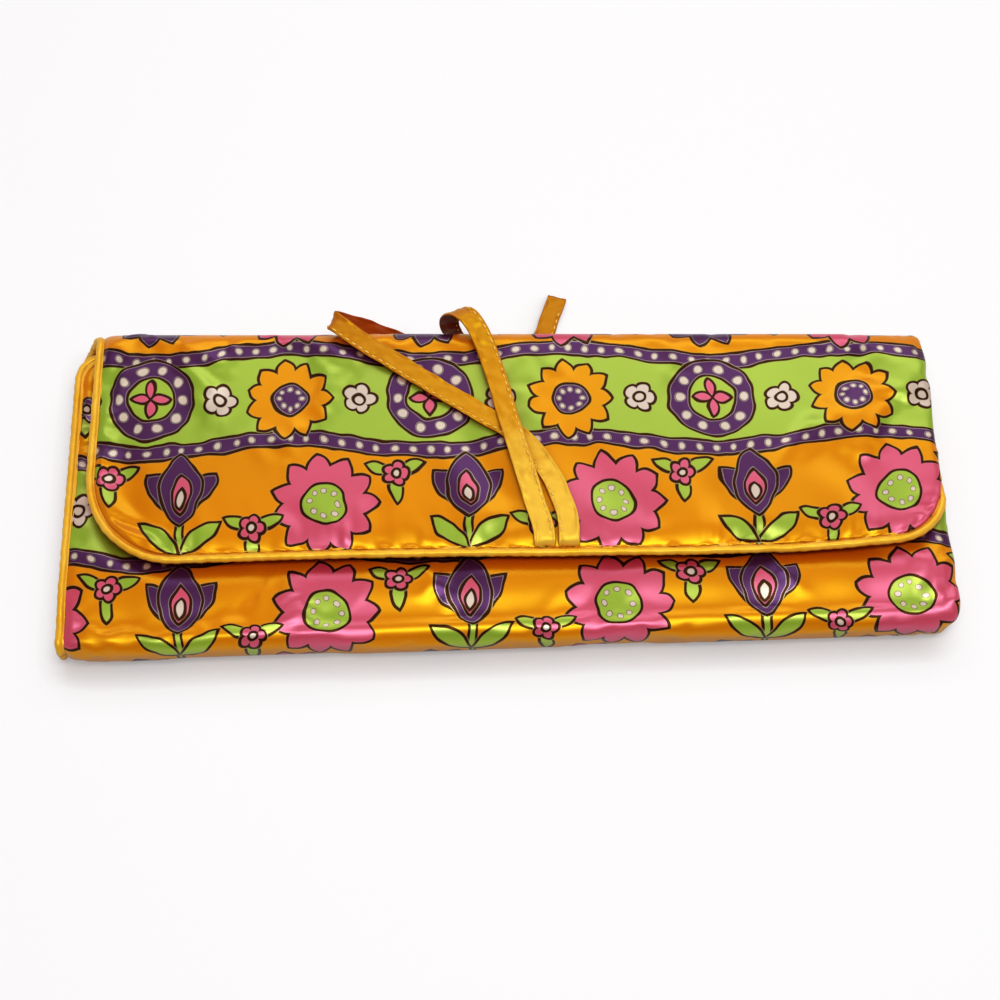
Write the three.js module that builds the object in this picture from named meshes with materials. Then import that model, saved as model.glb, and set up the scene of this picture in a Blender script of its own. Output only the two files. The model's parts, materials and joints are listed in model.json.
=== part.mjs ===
// A folding satin jewelry roll, closed: a padded base, a front panel folded up from the near edge,
// a flap folded over from the far edge, corded edges, two flat ties, and zips and a ring roll inside.
// Millimetres, +X along the roll, +Y to the far fold, +Z up. The origin is on the flat underside.
import * as THREE from 'three';

// Driving dimensions
const bodyLength = 248;
const bodyDepth = 97.4;
const panelThickness = 3.9;
const clothThickness = 0.4;
const seamThickness = 1.1;
const edgeRound = 4.5;
const foldRadius = 6;
const insideRoom = 6.5;
const flapClearance = 0.8;
const clearance = 0.3;
const foldSlit = 0.15;
const foldSkew = 0.038;
const pipingDiameter = 2.8;
const pipingEndGap = 0.25;
const paddingInset = 1.2;

const flapReach = 70.4;
const flapShiftLeft = 6.7;
const flapShiftRight = -0.7;
const flapCornerLeft = 24;
const flapCornerRight = 13;
const flapBow = 2.6;
const flapBowFrom = 64;
const flapBowTo = 199;
const flapBowFall = 46;
const flapBowFallShare = 0.8;
const frontTipRoom = 8.2;
const frontCorner = 6;

const zipEndMargin = 20;
const zipTapeWidth = 8;
const zipTapeThickness = 0.5;
const zipChainWidth = 3.6;
const zipChainHeight = 1;
const zipToothPitch = 3.2;
const zipChainPlay = 0.6;
const sliderLength = 9;
const sliderWidth = 6.4;
const sliderThickness = 1.2;
const pullLength = 16;
const pullWidth = 4.2;
const pullThickness = 0.6;
const stopLength = 2.2;
const baseZipFromFar = 24.7;
const frontZipFromNear = 36.7;
const pocketEndMargin = 6;
const basePocketFromNear = 8.4;
const frontPocketDepth = 30;
const pocketThickness = 0.5;
const slipPocketWidth = 150;
const slipPocketDepth = 40;
const slipPocketFromEdge = 8;

const ringRollLength = 168;
const ringRollWidth = 9;
const ringRollHeight = 3.2;
const ringRollFromZip = 20;
const ringRollFromEnd = 38;
const ringTabLength = 14;
const ringEndTabLength = 9.5;
const tabThickness = 0.5;
const snapDiameter = 8;
const snapHeight = 0.7;

const tieWidth = 6;
const tieThickness = 0.8;

// Corners and small shapes
const pocketCorner = 5;
const zipTapeCorner = 0.6;
const tabCorner = 1;
const toothFlankShare = 0.3;
const sliderNoseShare = 0.55;
const sliderTailShare = 0.8;
const sliderShoulderShare = 0.35;
const pullNeckShare = 0.6;
const pullHoleShare = 0.45;
const pullPlaceShare = 0.4;
const ringRollEndLength = 6;
const snapRimShare = 0.6;
const snapFaceShare = 0.8;

// Places that follow from them
const halfDepth = bodyDepth / 2;
const nearY = -halfDepth;
const farY = halfDepth;
const frontTop = panelThickness * 2 + insideRoom;
const flapTop = frontTop + flapClearance + panelThickness;
const liningTop = panelThickness;
const frontUnderside = frontTop - panelThickness;
const flapUnderside = flapTop - panelThickness;
const sideLeft = -bodyLength / 2;
const sideRight = bodyLength / 2;
const flapLeft = sideLeft + flapShiftLeft;
const flapRight = sideRight + flapShiftRight;
const flapEndY = farY - flapReach;
const frontEndY = farY - frontTipRoom;
const ringRollHingeX = sideLeft + ringRollFromEnd;
const baseZipY = farY - baseZipFromFar;
const frontZipY = nearY + frontZipFromNear;
const ringRollY = baseZipY - ringRollFromZip;
const basePocketDepth = baseZipY - zipTapeWidth - clearance - nearY - basePocketFromNear;
const pipingRadius = pipingDiameter / 2;
const pipingOut = clearance + pipingRadius;
const zipLength = bodyLength - 2 * zipEndMargin;
const pocketWidth = bodyLength - 2 * pocketEndMargin;
const slitAngle = THREE.MathUtils.radToDeg(foldSlit / foldRadius);

const colours = {
  printedSatin: 0xf08c00,
  piping: 0xe8a020,
  tie: 0xf0a830,
  lining: 0xe99a1e,
  wadding: 0xf3efe6,
  zipTape: 0xd9861a,
  zipChain: 0xe0932a,
  metal: 0xc9a24a,
  snap: 0xb9b9b4,
};

const group = new THREE.Group();

function addMesh(parent, name, geometry, colour, roughness, metalness) {
  const material = new THREE.MeshStandardMaterial({ color: colour, roughness, metalness });
  const mesh = new THREE.Mesh(geometry, material);
  mesh.name = name;
  parent.add(mesh);
  return mesh;
}

// The outer face of a fold or panel, seen along X: points with the direction that leads inward
function arcStations(centreY, centreZ, fromDegrees, toDegrees, steps) {
  const stations = [];
  for (let i = 0; i <= steps; i += 1) {
    const angle = THREE.MathUtils.degToRad(fromDegrees + ((toDegrees - fromDegrees) * i) / steps);
    const y = Math.cos(angle);
    const z = Math.sin(angle);
    stations.push({ y: centreY + foldRadius * y, z: centreZ + foldRadius * z, inY: -y, inZ: -z });
  }
  return stations;
}

// The base's flat part, whose outer face lies on the table
function flatStations(ys) {
  return ys.map((y) => ({ y, z: 0, inY: 0, inZ: 1 }));
}

function between(from, to, count) {
  const values = [];
  for (let i = 1; i < count; i += 1) {
    values.push(from + ((to - from) * i) / count);
  }
  return values;
}

// Distances from a sewn edge at which the padded panel changes its height
const edgeSteps = [0, 0.7, 2.2, edgeRound];

function edgeDistance(panel, sides, x, toEnd) {
  const left = x - sides.left;
  const right = sides.right - x;
  let least = Math.min(left, right, toEnd);
  const corners = [[left, panel.cornerLeft], [right, panel.cornerRight]];
  for (const [side, radius] of corners) {
    if (side < radius && toEnd < radius) {
      least = Math.min(least, radius - Math.hypot(radius - side, radius - toEnd));
    }
  }
  return Math.max(least, 0);
}

// How far the panel is drawn in at a distance from its edge: one at the seam, none on the flat
function drawnIn(distance) {
  const inside = Math.min(distance / edgeRound, 1);
  return 1 - Math.sqrt(1 - (1 - inside) ** 2);
}

function cornerInset(radius, toEnd) {
  if (toEnd >= radius) {
    return 0;
  }
  return radius - Math.sqrt(radius ** 2 - (radius - toEnd) ** 2);
}

function columnPlaces(left, right, inset, count) {
  const insetSteps = edgeSteps.map((step) => Math.max(step, inset));
  const steps = insetSteps.filter((step, i) => step !== insetSteps[i - 1]);
  const from = steps.map((step) => left + step);
  const to = steps.map((step) => right - step).reverse();
  return [...from, ...between(from[from.length - 1], to[0], count), ...to];
}

// The side edges at a station, which taper where a fold joins two panels of unlike width
function sidesAt(panel, station) {
  const { left = panel.left, right = panel.right } = station;
  return { left, right };
}

// One layer of a panel as a closed sheet between two depths under the outer face
function layerGeometry(panel, inset, outerDepth, innerDepth) {
  const rows = panel.stations.filter((station) => station.toEnd === undefined || station.toEnd >= inset);
  if (panel.freeEnd && rows[rows.length - 1].toEnd > inset) {
    rows.push(panel.stationAt(inset));
  }
  const grid = rows.map((station) => {
    const toEnd = station.toEnd === undefined ? Infinity : station.toEnd;
    const sides = sidesAt(panel, station);
    const left = sides.left + cornerInset(panel.cornerLeft - inset, toEnd - inset);
    const right = sides.right - cornerInset(panel.cornerRight - inset, toEnd - inset);
    return columnPlaces(left, right, inset, panel.columns).map((x) => {
      const draw = drawnIn(edgeDistance(panel, sides, x, toEnd)) * ((panelThickness - seamThickness) / 2);
      const pair = [outerDepth(draw), innerDepth(draw)];
      return pair.map((depth) => {
        const y = station.y + station.inY * depth;
        const z = station.z + station.inZ * depth;
        return new THREE.Vector3(x, y - panel.shiftAt(x, y), z);
      });
    });
  });
  return closedSheet(grid, panel.flip);
}

// A closed body from a grid of outer and inner points
function closedSheet(grid, flip) {
  const rows = grid.length;
  const columns = grid[0].length;
  const positions = [];
  for (const face of [0, 1]) {
    for (const row of grid) {
      for (const pair of row) {
        positions.push(pair[face].x, pair[face].y, pair[face].z);
      }
    }
  }
  const at = (face, i, j) => face * rows * columns + i * columns + j;
  const indices = [];
  const quad = (a, b, c, d) => {
    if (flip) {
      indices.push(a, c, b, a, d, c);
    } else {
      indices.push(a, b, c, a, c, d);
    }
  };
  for (let i = 0; i < rows - 1; i += 1) {
    for (let j = 0; j < columns - 1; j += 1) {
      quad(at(0, i, j), at(0, i + 1, j), at(0, i + 1, j + 1), at(0, i, j + 1));
      quad(at(1, i, j), at(1, i, j + 1), at(1, i + 1, j + 1), at(1, i + 1, j));
    }
  }
  for (let i = 0; i < rows - 1; i += 1) {
    quad(at(0, i, 0), at(1, i, 0), at(1, i + 1, 0), at(0, i + 1, 0));
    const last = columns - 1;
    quad(at(0, i, last), at(0, i + 1, last), at(1, i + 1, last), at(1, i, last));
  }
  for (let j = 0; j < columns - 1; j += 1) {
    quad(at(0, 0, j), at(0, 0, j + 1), at(1, 0, j + 1), at(1, 0, j));
    const last = rows - 1;
    quad(at(0, last, j), at(1, last, j), at(1, last, j + 1), at(0, last, j + 1));
  }
  const geometry = new THREE.BufferGeometry();
  geometry.setAttribute('position', new THREE.Float32BufferAttribute(positions, 3));
  geometry.setIndex(indices);
  geometry.computeVertexNormals();
  return geometry;
}

// Adds the printed cover, the wadding and the lining of a panel or fold
function addPanel(parent, name, panel) {
  const coverBottom = (draw) => draw + clothThickness;
  const liningInner = (draw) => panelThickness - draw;
  const liningOuter = (draw) => panelThickness - draw - clothThickness;
  const paddingOuter = (draw) => draw + clothThickness + clearance;
  const paddingInner = (draw) => panelThickness - draw - clothThickness - clearance;
  const cover = layerGeometry(panel, 0, (draw) => draw, coverBottom);
  addMesh(parent, `${name}_cover`, cover, colours.printedSatin, 0.35, 0);
  const padding = layerGeometry(panel, paddingInset, paddingOuter, paddingInner);
  addMesh(parent, `${name}_padding`, padding, colours.wadding, 0.95, 0);
  const lining = layerGeometry(panel, 0, liningOuter, liningInner);
  addMesh(parent, `${name}_lining`, lining, colours.lining, 0.45, 0);
}

// How far a point shifts to the near side: the far fold lies askew, and the panels take their share
function bodyShift(x, y) {
  const from = nearY + foldRadius;
  const to = farY - foldRadius;
  return foldSkew * x * THREE.MathUtils.clamp((y - from) / (to - from), 0, 1);
}

// The flap's sewn end bows out, most of all right of the middle
function flapShift(x, y) {
  const share = THREE.MathUtils.clamp((y - flapEndY) / (farY - foldRadius - flapEndY), 0, 1);
  const rise = THREE.MathUtils.smoothstep(x - sideLeft, flapBowFrom, flapBowTo);
  const fall = THREE.MathUtils.smoothstep(x, sideRight - flapBowFall, sideRight);
  return foldSkew * x * share + flapBow * (rise - flapBowFallShare * fall) * (1 - share);
}

const foldShift = (x) => foldSkew * x;
const noShift = () => 0;
const arcSteps = 3;
const flatSteps = 5;
const flatColumns = 7;
const flapColumns = 11;

const basePanel = {
  stations: [
    ...arcStations(nearY + foldRadius, foldRadius, 225 + slitAngle, 270, arcSteps),
    ...flatStations(between(nearY + foldRadius, farY - foldRadius, flatSteps)),
    ...arcStations(farY - foldRadius, foldRadius, 270, 315 - slitAngle, arcSteps),
  ],
  left: sideLeft,
  right: sideRight,
  cornerLeft: 0,
  cornerRight: 0,
  columns: flatColumns,
  shiftAt: bodyShift,
  flip: false,
};

const nearFold = {
  ...basePanel,
  stations: [
    ...arcStations(nearY + foldRadius, frontTop - foldRadius, 135 + slitAngle, 180, arcSteps),
    ...arcStations(nearY + foldRadius, foldRadius, 180, 225 - slitAngle, arcSteps),
  ],
  shiftAt: noShift,
};

// The far fold narrows on its way up from the base's width to the flap's
function narrowed(stations) {
  const low = stations[0].z;
  const high = stations[stations.length - 1].z;
  return stations.map((station) => {
    const share = (station.z - low) / (high - low);
    const left = THREE.MathUtils.lerp(sideLeft, flapLeft, share);
    const right = THREE.MathUtils.lerp(sideRight, flapRight, share);
    return { ...station, left, right };
  });
}

const farFold = {
  ...basePanel,
  stations: narrowed([
    ...arcStations(farY - foldRadius, foldRadius, 315 + slitAngle, 360, arcSteps),
    ...arcStations(farY - foldRadius, flapTop - foldRadius, 0, 45 - slitAngle, arcSteps),
  ]),
  shiftAt: foldShift,
};

// Stations of a panel that ends in a sewn edge, from its fold to that edge
function stationsToEdge(arc, flatFrom, endY, z, corner) {
  const sign = Math.sign(endY - flatFrom);
  const length = Math.abs(endY - flatFrom);
  const stationAt = (toEnd) => ({ y: endY - sign * toEnd, z, inY: 0, inZ: -1, toEnd });
  const inCorner = between(edgeRound, corner, corner > 2 * edgeRound ? 4 : 2);
  const last = [...edgeSteps, ...(corner > edgeRound ? [...inCorner, corner] : [])];
  const inner = between(last[last.length - 1], length, 4);
  const distances = [...last, ...inner].reverse();
  return {
    stations: [...arc, ...distances.map(stationAt)],
    stationAt,
    freeEnd: true,
  };
}

const frontArc = arcStations(nearY + foldRadius, frontTop - foldRadius, 135 - slitAngle, 90, arcSteps);
const frontPanel = {
  ...basePanel,
  ...stationsToEdge(frontArc, nearY + foldRadius, frontEndY, frontTop, frontCorner),
  cornerLeft: frontCorner,
  cornerRight: frontCorner,
  flip: true,
};

const flapArc = arcStations(farY - foldRadius, flapTop - foldRadius, 45 + slitAngle, 90, arcSteps);
const flapPanel = {
  ...basePanel,
  ...stationsToEdge(flapArc, farY - foldRadius, flapEndY, flapTop, flapCornerLeft),
  left: flapLeft,
  right: flapRight,
  cornerLeft: flapCornerLeft,
  cornerRight: flapCornerRight,
  columns: flapColumns,
  shiftAt: flapShift,
};

// A route that is extruded with a step at each of its points, and whose section keeps its lie
class LaidRoute extends THREE.CatmullRomCurve3 {
  constructor(points, upAt) {
    super(points, false, 'centripetal');
    this.upAt = upAt;
  }

  getSpacedPoints() {
    return this.points.map((point) => point.clone());
  }

  computeFrenetFrames() {
    const last = this.points.length - 1;
    const tangents = [];
    const normals = [];
    const binormals = [];
    this.points.forEach((point, i) => {
      const before = this.points[Math.max(i - 1, 0)];
      const after = this.points[Math.min(i + 1, last)];
      const tangent = after.clone().sub(before).normalize();
      const normal = new THREE.Vector3().crossVectors(this.upAt(i, tangent), tangent).normalize();
      tangents.push(tangent);
      normals.push(normal);
      binormals.push(new THREE.Vector3().crossVectors(tangent, normal));
    });
    return { tangents, normals, binormals };
  }
}

function alongRoute(section, points, upAt) {
  const extrudePath = new LaidRoute(points, upAt);
  const steps = points.length - 1;
  return new THREE.ExtrudeGeometry(section, { steps, extrudePath, bevelEnabled: false });
}

function roundSection(radius, sides) {
  const points = [];
  for (let i = 0; i < sides; i += 1) {
    const angle = ((i + 0.5) * 2 * Math.PI) / sides;
    points.push(new THREE.Vector2(radius * Math.cos(angle), radius * Math.sin(angle)));
  }
  return new THREE.Shape(points);
}

const pipingSection = roundSection(pipingRadius, 8);
const alongX = new THREE.Vector3(1, 0, 0);
const upward = new THREE.Vector3(0, 0, 1);

// The line of a side's piping: the middle of the panel's thickness at each station
function middlePoints(panel, stations, side) {
  return stations.map((station) => {
    const sides = sidesAt(panel, station);
    const x = side < 0 ? sides.left - pipingOut : sides.right + pipingOut;
    const y = station.y + (station.inY * panelThickness) / 2;
    const z = station.z + (station.inZ * panelThickness) / 2;
    return new THREE.Vector3(x, y - panel.shiftAt(x, y), z);
  });
}

// Moves an end of a line of piping back from the fold's slit
function heldBack(points, end) {
  const next = end === 0 ? 1 : points.length - 2;
  const step = points[next].clone().sub(points[end]);
  points[end].add(step.setLength(pipingEndGap));
  return points;
}

function addPiping(parent, name, points, upAt) {
  const geometry = alongRoute(pipingSection, points, upAt);
  addMesh(parent, name, geometry, colours.piping, 0.35, 0);
}

const wideCorner = 12;
const wideCornerSteps = 9;
const cornerSteps = 6;
const pipingEndSteps = 12;

// Piping along both sides and round the sewn end of a panel, in one length
function pipingRound(panel) {
  const endY = panel.stationAt(-pipingOut).y;
  const sign = Math.sign(endY - panel.stationAt(edgeRound).y);
  const z = panel.stationAt(0).z - panelThickness / 2;
  const sides = [
    { edge: panel.left - pipingOut, out: -1, radius: panel.cornerLeft + pipingOut },
    { edge: panel.right + pipingOut, out: 1, radius: panel.cornerRight + pipingOut },
  ];
  const [leftPoints, rightPoints] = sides.map(({ edge, out, radius }) => {
    const beforeCorner = panel.stations.filter((station) => !(station.toEnd < radius + pipingOut));
    const points = heldBack(middlePoints({ ...panel, shiftAt: noShift }, beforeCorner, out), 0);
    const turnSteps = radius > wideCorner ? wideCornerSteps : cornerSteps;
    for (let i = 0; i <= turnSteps; i += 1) {
      const angle = (i * Math.PI) / 2 / turnSteps;
      const x = edge - out * radius * (1 - Math.cos(angle));
      const y = endY - sign * radius * (1 - Math.sin(angle));
      points.push(new THREE.Vector3(x, y, z));
    }
    return points;
  });
  const middle = between(panel.left + panel.cornerLeft, panel.right - panel.cornerRight, pipingEndSteps)
    .map((x) => new THREE.Vector3(x, endY, z));
  return [...leftPoints, ...middle, ...rightPoints.reverse()].map((point) => {
    return new THREE.Vector3(point.x, point.y - panel.shiftAt(point.x, point.y), point.z);
  });
}

// The upright of a corded edge changes from along X on the sides to straight up round the end
function pipingUp(i, tangent) {
  const sideways = Math.abs(tangent.x);
  return alongX.clone().multiplyScalar(1 - sideways).addScaledVector(upward, sideways).normalize();
}

const base = new THREE.Group();
const farFoldGroup = new THREE.Group();
const front = new THREE.Group();
const flap = new THREE.Group();
group.add(base, farFoldGroup, front, flap);

addPanel(base, 'base', basePanel);
addPanel(base, 'near_fold', nearFold);
addPanel(farFoldGroup, 'far_fold', farFold);
addPanel(front, 'front', frontPanel);
addPanel(flap, 'flap', flapPanel);

for (const [side, sign] of [['left', -1], ['right', 1]]) {
  const edges = [
    ['base', base, basePanel],
    ['near_fold', base, nearFold],
    ['far_fold', farFoldGroup, farFold],
  ];
  for (const [name, parent, panel] of edges) {
    const points = middlePoints(panel, panel.stations, sign);
    heldBack(points, 0);
    heldBack(points, points.length - 1);
    addPiping(parent, `${name}_piping_${side}`, points, () => alongX);
  }
}

addPiping(front, 'front_piping', pipingRound(frontPanel), pipingUp);
addPiping(flap, 'flap_piping', pipingRound(flapPanel), pipingUp);

// A flat piece of cloth with rounded corners, lying level between two heights
function clothPiece(width, depth, corner, thickness) {
  const x = width / 2;
  const y = depth / 2;
  const shape = new THREE.Shape();
  shape.moveTo(-x + corner, -y);
  shape.lineTo(x - corner, -y);
  shape.absarc(x - corner, -y + corner, corner, -Math.PI / 2, 0);
  shape.lineTo(x, y - corner);
  shape.absarc(x - corner, y - corner, corner, 0, Math.PI / 2);
  shape.lineTo(-x + corner, y);
  shape.absarc(-x + corner, y - corner, corner, Math.PI / 2, Math.PI);
  shape.lineTo(-x, -y + corner);
  shape.absarc(-x + corner, -y + corner, corner, Math.PI, 1.5 * Math.PI);
  return new THREE.ExtrudeGeometry(shape, { depth: thickness, bevelEnabled: false, curveSegments: 4 });
}

// The closed chain of a zip, seen from above: two rows of teeth that stand out to both sides
function zipChainGeometry() {
  const half = zipChainWidth / 2;
  const root = half - zipChainPlay;
  const length = zipLength - 2 * stopLength - 2 * clearance;
  const count = Math.floor(length / zipToothPitch);
  const start = (-count * zipToothPitch) / 2;
  const shape = new THREE.Shape();
  shape.moveTo(start, -root);
  for (let i = 0; i < count; i += 1) {
    shape.lineTo(start + (i + toothFlankShare) * zipToothPitch, -half);
    shape.lineTo(start + (i + 1 - toothFlankShare) * zipToothPitch, -half);
    shape.lineTo(start + (i + 1) * zipToothPitch, -root);
  }
  shape.lineTo(-start, root);
  for (let i = count; i > 0; i -= 1) {
    shape.lineTo(start + (i - toothFlankShare) * zipToothPitch, half);
    shape.lineTo(start + (i - 1 + toothFlankShare) * zipToothPitch, half);
    shape.lineTo(start + (i - 1) * zipToothPitch, root);
  }
  return new THREE.ExtrudeGeometry(shape, { depth: zipChainHeight, bevelEnabled: false });
}

// The slider body, pointed at its nose, and its pull with a hole near the free end
function sliderGeometry() {
  const half = sliderWidth / 2;
  const nose = half * sliderNoseShare;
  const tail = half * sliderTailShare;
  const shoulder = sliderLength * sliderShoulderShare;
  const shape = new THREE.Shape();
  shape.moveTo(0, -nose);
  shape.lineTo(shoulder, -half);
  shape.lineTo(sliderLength, -tail);
  shape.lineTo(sliderLength, tail);
  shape.lineTo(shoulder, half);
  shape.lineTo(0, nose);
  return new THREE.ExtrudeGeometry(shape, { depth: sliderThickness, bevelEnabled: false });
}

function pullGeometry() {
  const half = pullWidth / 2;
  const neck = half * pullNeckShare;
  const shape = new THREE.Shape();
  shape.moveTo(0, -neck);
  shape.lineTo(pullLength - half, -half);
  shape.absarc(pullLength - half, 0, half, -Math.PI / 2, Math.PI / 2);
  shape.lineTo(0, neck);
  const hole = new THREE.Path();
  hole.absarc(pullLength - half, 0, half * pullHoleShare, 0, 2 * Math.PI, true);
  shape.holes.push(hole);
  return new THREE.ExtrudeGeometry(shape, { depth: pullThickness, bevelEnabled: false, curveSegments: 6 });
}

// A zipped pocket on a lining; up is +1 on the base and -1 under the front panel
function addZipPocket(parent, name, zipY, depth, towards, liningZ, up) {
  const rise = (offset, thickness) => liningZ + up * offset + (up < 0 ? -thickness : 0);
  const pocketY = zipY + towards * (zipTapeWidth + clearance + depth / 2);
  const pocket = addMesh(
    parent,
    `${name}_pocket`,
    clothPiece(pocketWidth, depth, pocketCorner, pocketThickness),
    colours.lining,
    0.45,
    0,
  );
  pocket.position.set(0, pocketY, rise(clearance, pocketThickness));
  const chainTop = clearance + zipTapeThickness + zipChainHeight;
  for (const [side, sign] of [['near', -1], ['far', 1]]) {
    const tape = addMesh(
      parent,
      `${name}_zip_tape_${side}`,
      clothPiece(pocketWidth, zipTapeWidth - clearance, zipTapeCorner, zipTapeThickness),
      colours.zipTape,
      0.8,
      0,
    );
    tape.position.set(0, zipY + (sign * zipTapeWidth) / 2, rise(clearance, zipTapeThickness));
  }
  const chain = addMesh(parent, `${name}_zip_teeth`, zipChainGeometry(), colours.zipChain, 0.5, 0);
  chain.position.set(0, zipY, rise(clearance + zipTapeThickness, zipChainHeight));
  for (const [side, sign] of [['left', -1], ['right', 1]]) {
    const stop = addMesh(
      parent,
      `${name}_zip_stop_${side}`,
      new THREE.BoxGeometry(stopLength, zipChainWidth, zipChainHeight),
      colours.metal,
      0.35,
      1,
    );
    const stopX = (sign * (zipLength - stopLength)) / 2;
    stop.position.set(stopX, zipY, rise(clearance + zipTapeThickness, zipChainHeight) + zipChainHeight / 2);
  }
  const sliderX = -zipLength / 2 + stopLength;
  const slider = addMesh(parent, `${name}_zip_slider`, sliderGeometry(), colours.metal, 0.3, 1);
  slider.position.set(sliderX, zipY, rise(chainTop + clearance, sliderThickness));
  const pull = addMesh(parent, `${name}_zip_pull`, pullGeometry(), colours.metal, 0.3, 1);
  const pullOffset = chainTop + 2 * clearance + sliderThickness;
  pull.position.set(sliderX + sliderLength * pullPlaceShare, zipY, rise(pullOffset, pullThickness));
}

addZipPocket(base, 'base', baseZipY, basePocketDepth, -1, liningTop, 1);
addZipPocket(front, 'front', frontZipY, frontPocketDepth, 1, frontUnderside, -1);

// The slip pocket sewn inside the flap
const slipPocket = addMesh(
  flap,
  'flap_slip_pocket',
  clothPiece(slipPocketWidth, slipPocketDepth, pocketCorner, clothThickness),
  colours.lining,
  0.45,
  0,
);
const slipPocketY = flapEndY + slipPocketFromEdge + slipPocketDepth / 2;
slipPocket.position.set(0, slipPocketY, flapUnderside - clothThickness);

// The stuffed ring roll: an oval sausage with drawn-in ends, sewn down at its left end
function ringRollGeometry() {
  const profile = [new THREE.Vector2(0, 0)];
  const endSteps = 4;
  for (let i = 1; i <= endSteps; i += 1) {
    const angle = (i * Math.PI) / 2 / endSteps;
    profile.push(new THREE.Vector2(Math.sin(angle) / 2, ringRollEndLength * (1 - Math.cos(angle))));
  }
  const mirrored = profile.map((point) => new THREE.Vector2(point.x, ringRollLength - point.y)).reverse();
  const geometry = new THREE.LatheGeometry([...profile, ...mirrored], 16);
  geometry.rotateZ(-Math.PI / 2);
  geometry.scale(1, ringRollWidth, ringRollHeight);
  return geometry;
}

const pocketFace = liningTop + clearance + pocketThickness;
const ringRollEndX = ringRollHingeX + ringRollLength;
const ringRoll = addMesh(base, 'ring_roll', ringRollGeometry(), colours.lining, 0.45, 0);
ringRoll.position.set(ringRollHingeX, ringRollY, pocketFace + clearance + ringRollHeight / 2);

function addTab(name, fromX, length, z) {
  const geometry = clothPiece(length, ringRollWidth, tabCorner, tabThickness);
  const tab = addMesh(base, name, geometry, colours.lining, 0.5, 0);
  tab.position.set(fromX + length / 2, ringRollY, z);
}

const sewnTabX = ringRollHingeX - clearance - ringTabLength;
addTab('ring_roll_sewn_tab', sewnTabX, ringTabLength, pocketFace);
const socketLift = pocketFace + snapHeight + clearance;
const endTabZ = socketLift + snapHeight;
addTab('ring_roll_end_tab', ringRollEndX + clearance, ringEndTabLength, endTabZ);

function snapGeometry(diameter, height) {
  const radius = diameter / 2;
  const profile = [
    new THREE.Vector2(0, 0),
    new THREE.Vector2(radius, 0),
    new THREE.Vector2(radius, height * snapRimShare),
    new THREE.Vector2(radius * snapFaceShare, height),
    new THREE.Vector2(0, height),
  ];
  return new THREE.LatheGeometry(profile, 20).rotateX(Math.PI / 2);
}

const snapX = ringRollEndX + clearance + ringEndTabLength / 2;
for (const [name, z] of [['ring_roll_snap_stud', pocketFace], ['ring_roll_snap_socket', socketLift]]) {
  const snap = addMesh(base, name, snapGeometry(snapDiameter, snapHeight), colours.snap, 0.3, 1);
  snap.position.set(snapX, ringRollY, z);
}

// The two flat ties, sewn into the flap's front seam and thrown back over the far fold.
// Each row is a point on the middle of the tape and the way its upper face looks there.
const tieLeftRoute = [
  [10.8, -22.3, 19.0, 0, -0.4, 0.9],
  [10.5, -18.6, 19.6, 0, 0, 1],
  [8.4, -9.2, 19.9, 0, 0, 1],
  [6, 0, 20.8, 0, 0, 1],
  [4.2, 7.1, 21.1, 0, 0, 1],
  [1.8, 17, 21.1, 0, 0, 1],
  [-0.6, 28, 21, 0, 0, 1],
  [-3.4, 39, 21.4, 0, 0, 1],
  [-6.2, 46, 22.7, -0.1, 0, 1],
  [-9.4, 50.6, 23.5, -0.3, 0.4, 0.85],
  [-12.8, 53, 21.7, -0.4, 0.8, 0.4],
  [-14.6, 53.7, 16.8, -0.2, 1, 0],
  [-14.4, 53.8, 11, 0, 1, 0],
  [-12, 53.8, 5.6, 0, 0.85, 0.5],
  [-7.2, 53.8, 2, 0, 0.4, 0.9],
  [-1.2, 53.9, 0.7, 0, 0.1, 1],
  [4.2, 54, 0.55, 0, 0, 1],
  [9.2, 54.1, 0.55, 0, 0, 1],
  [12.9, 55, 0.55, 0, 0, 1],
  [14.9, 58, 0.55, 0, 0, 1],
  [16.3, 62.1, 0.55, 0, 0, 1],
  [17.7, 66.2, 0.55, 0, 0, 1],
  [19.1, 70.4, 0.55, 0, 0, 1],
];
const tieRightRoute = [
  [17.8, -22.5, 19.0, 0, -0.4, 0.9],
  [17.7, -18.8, 19.6, 0, 0, 1],
  [16.4, -10, 19.7, 0, 0, 1],
  [13.2, -1.4, 19.7, 0, 0, 1],
  [8.4, 6.9, 19.7, 0, 0, 1],
  [1.6, 13.8, 19.7, 0, 0, 1],
  [-7, 19.8, 19.7, 0, 0, 1],
  [-17.8, 27.6, 19.8, 0, 0, 1],
  [-29.5, 36.2, 20.2, 0, 0, 1],
  [-39.6, 43.2, 21, 0, 0, 1],
  [-45.6, 47.8, 22, -0.1, 0, 1],
  [-48.8, 50.4, 22, -0.6, 0.5, 0.6],
  [-49.4, 51.9, 20.4, -0.7, 0.6, -0.4],
  [-47, 53, 18, -0.2, 0.5, -0.9],
  [-42.4, 53.7, 14, -0.4, 0.3, -0.85],
  [-37, 54, 9.8, -0.6, 0.2, -0.8],
  [-32, 54.1, 5.8, -0.6, 0.1, -0.8],
  [-27.4, 54.1, 2.6, -0.5, 0, -0.9],
  [-23, 54.2, 0.9, -0.2, 0, -1],
  [-19.2, 54.2, 0.55, 0, 0, -1],
];
const tieStepsPerRow = 2;

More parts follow.
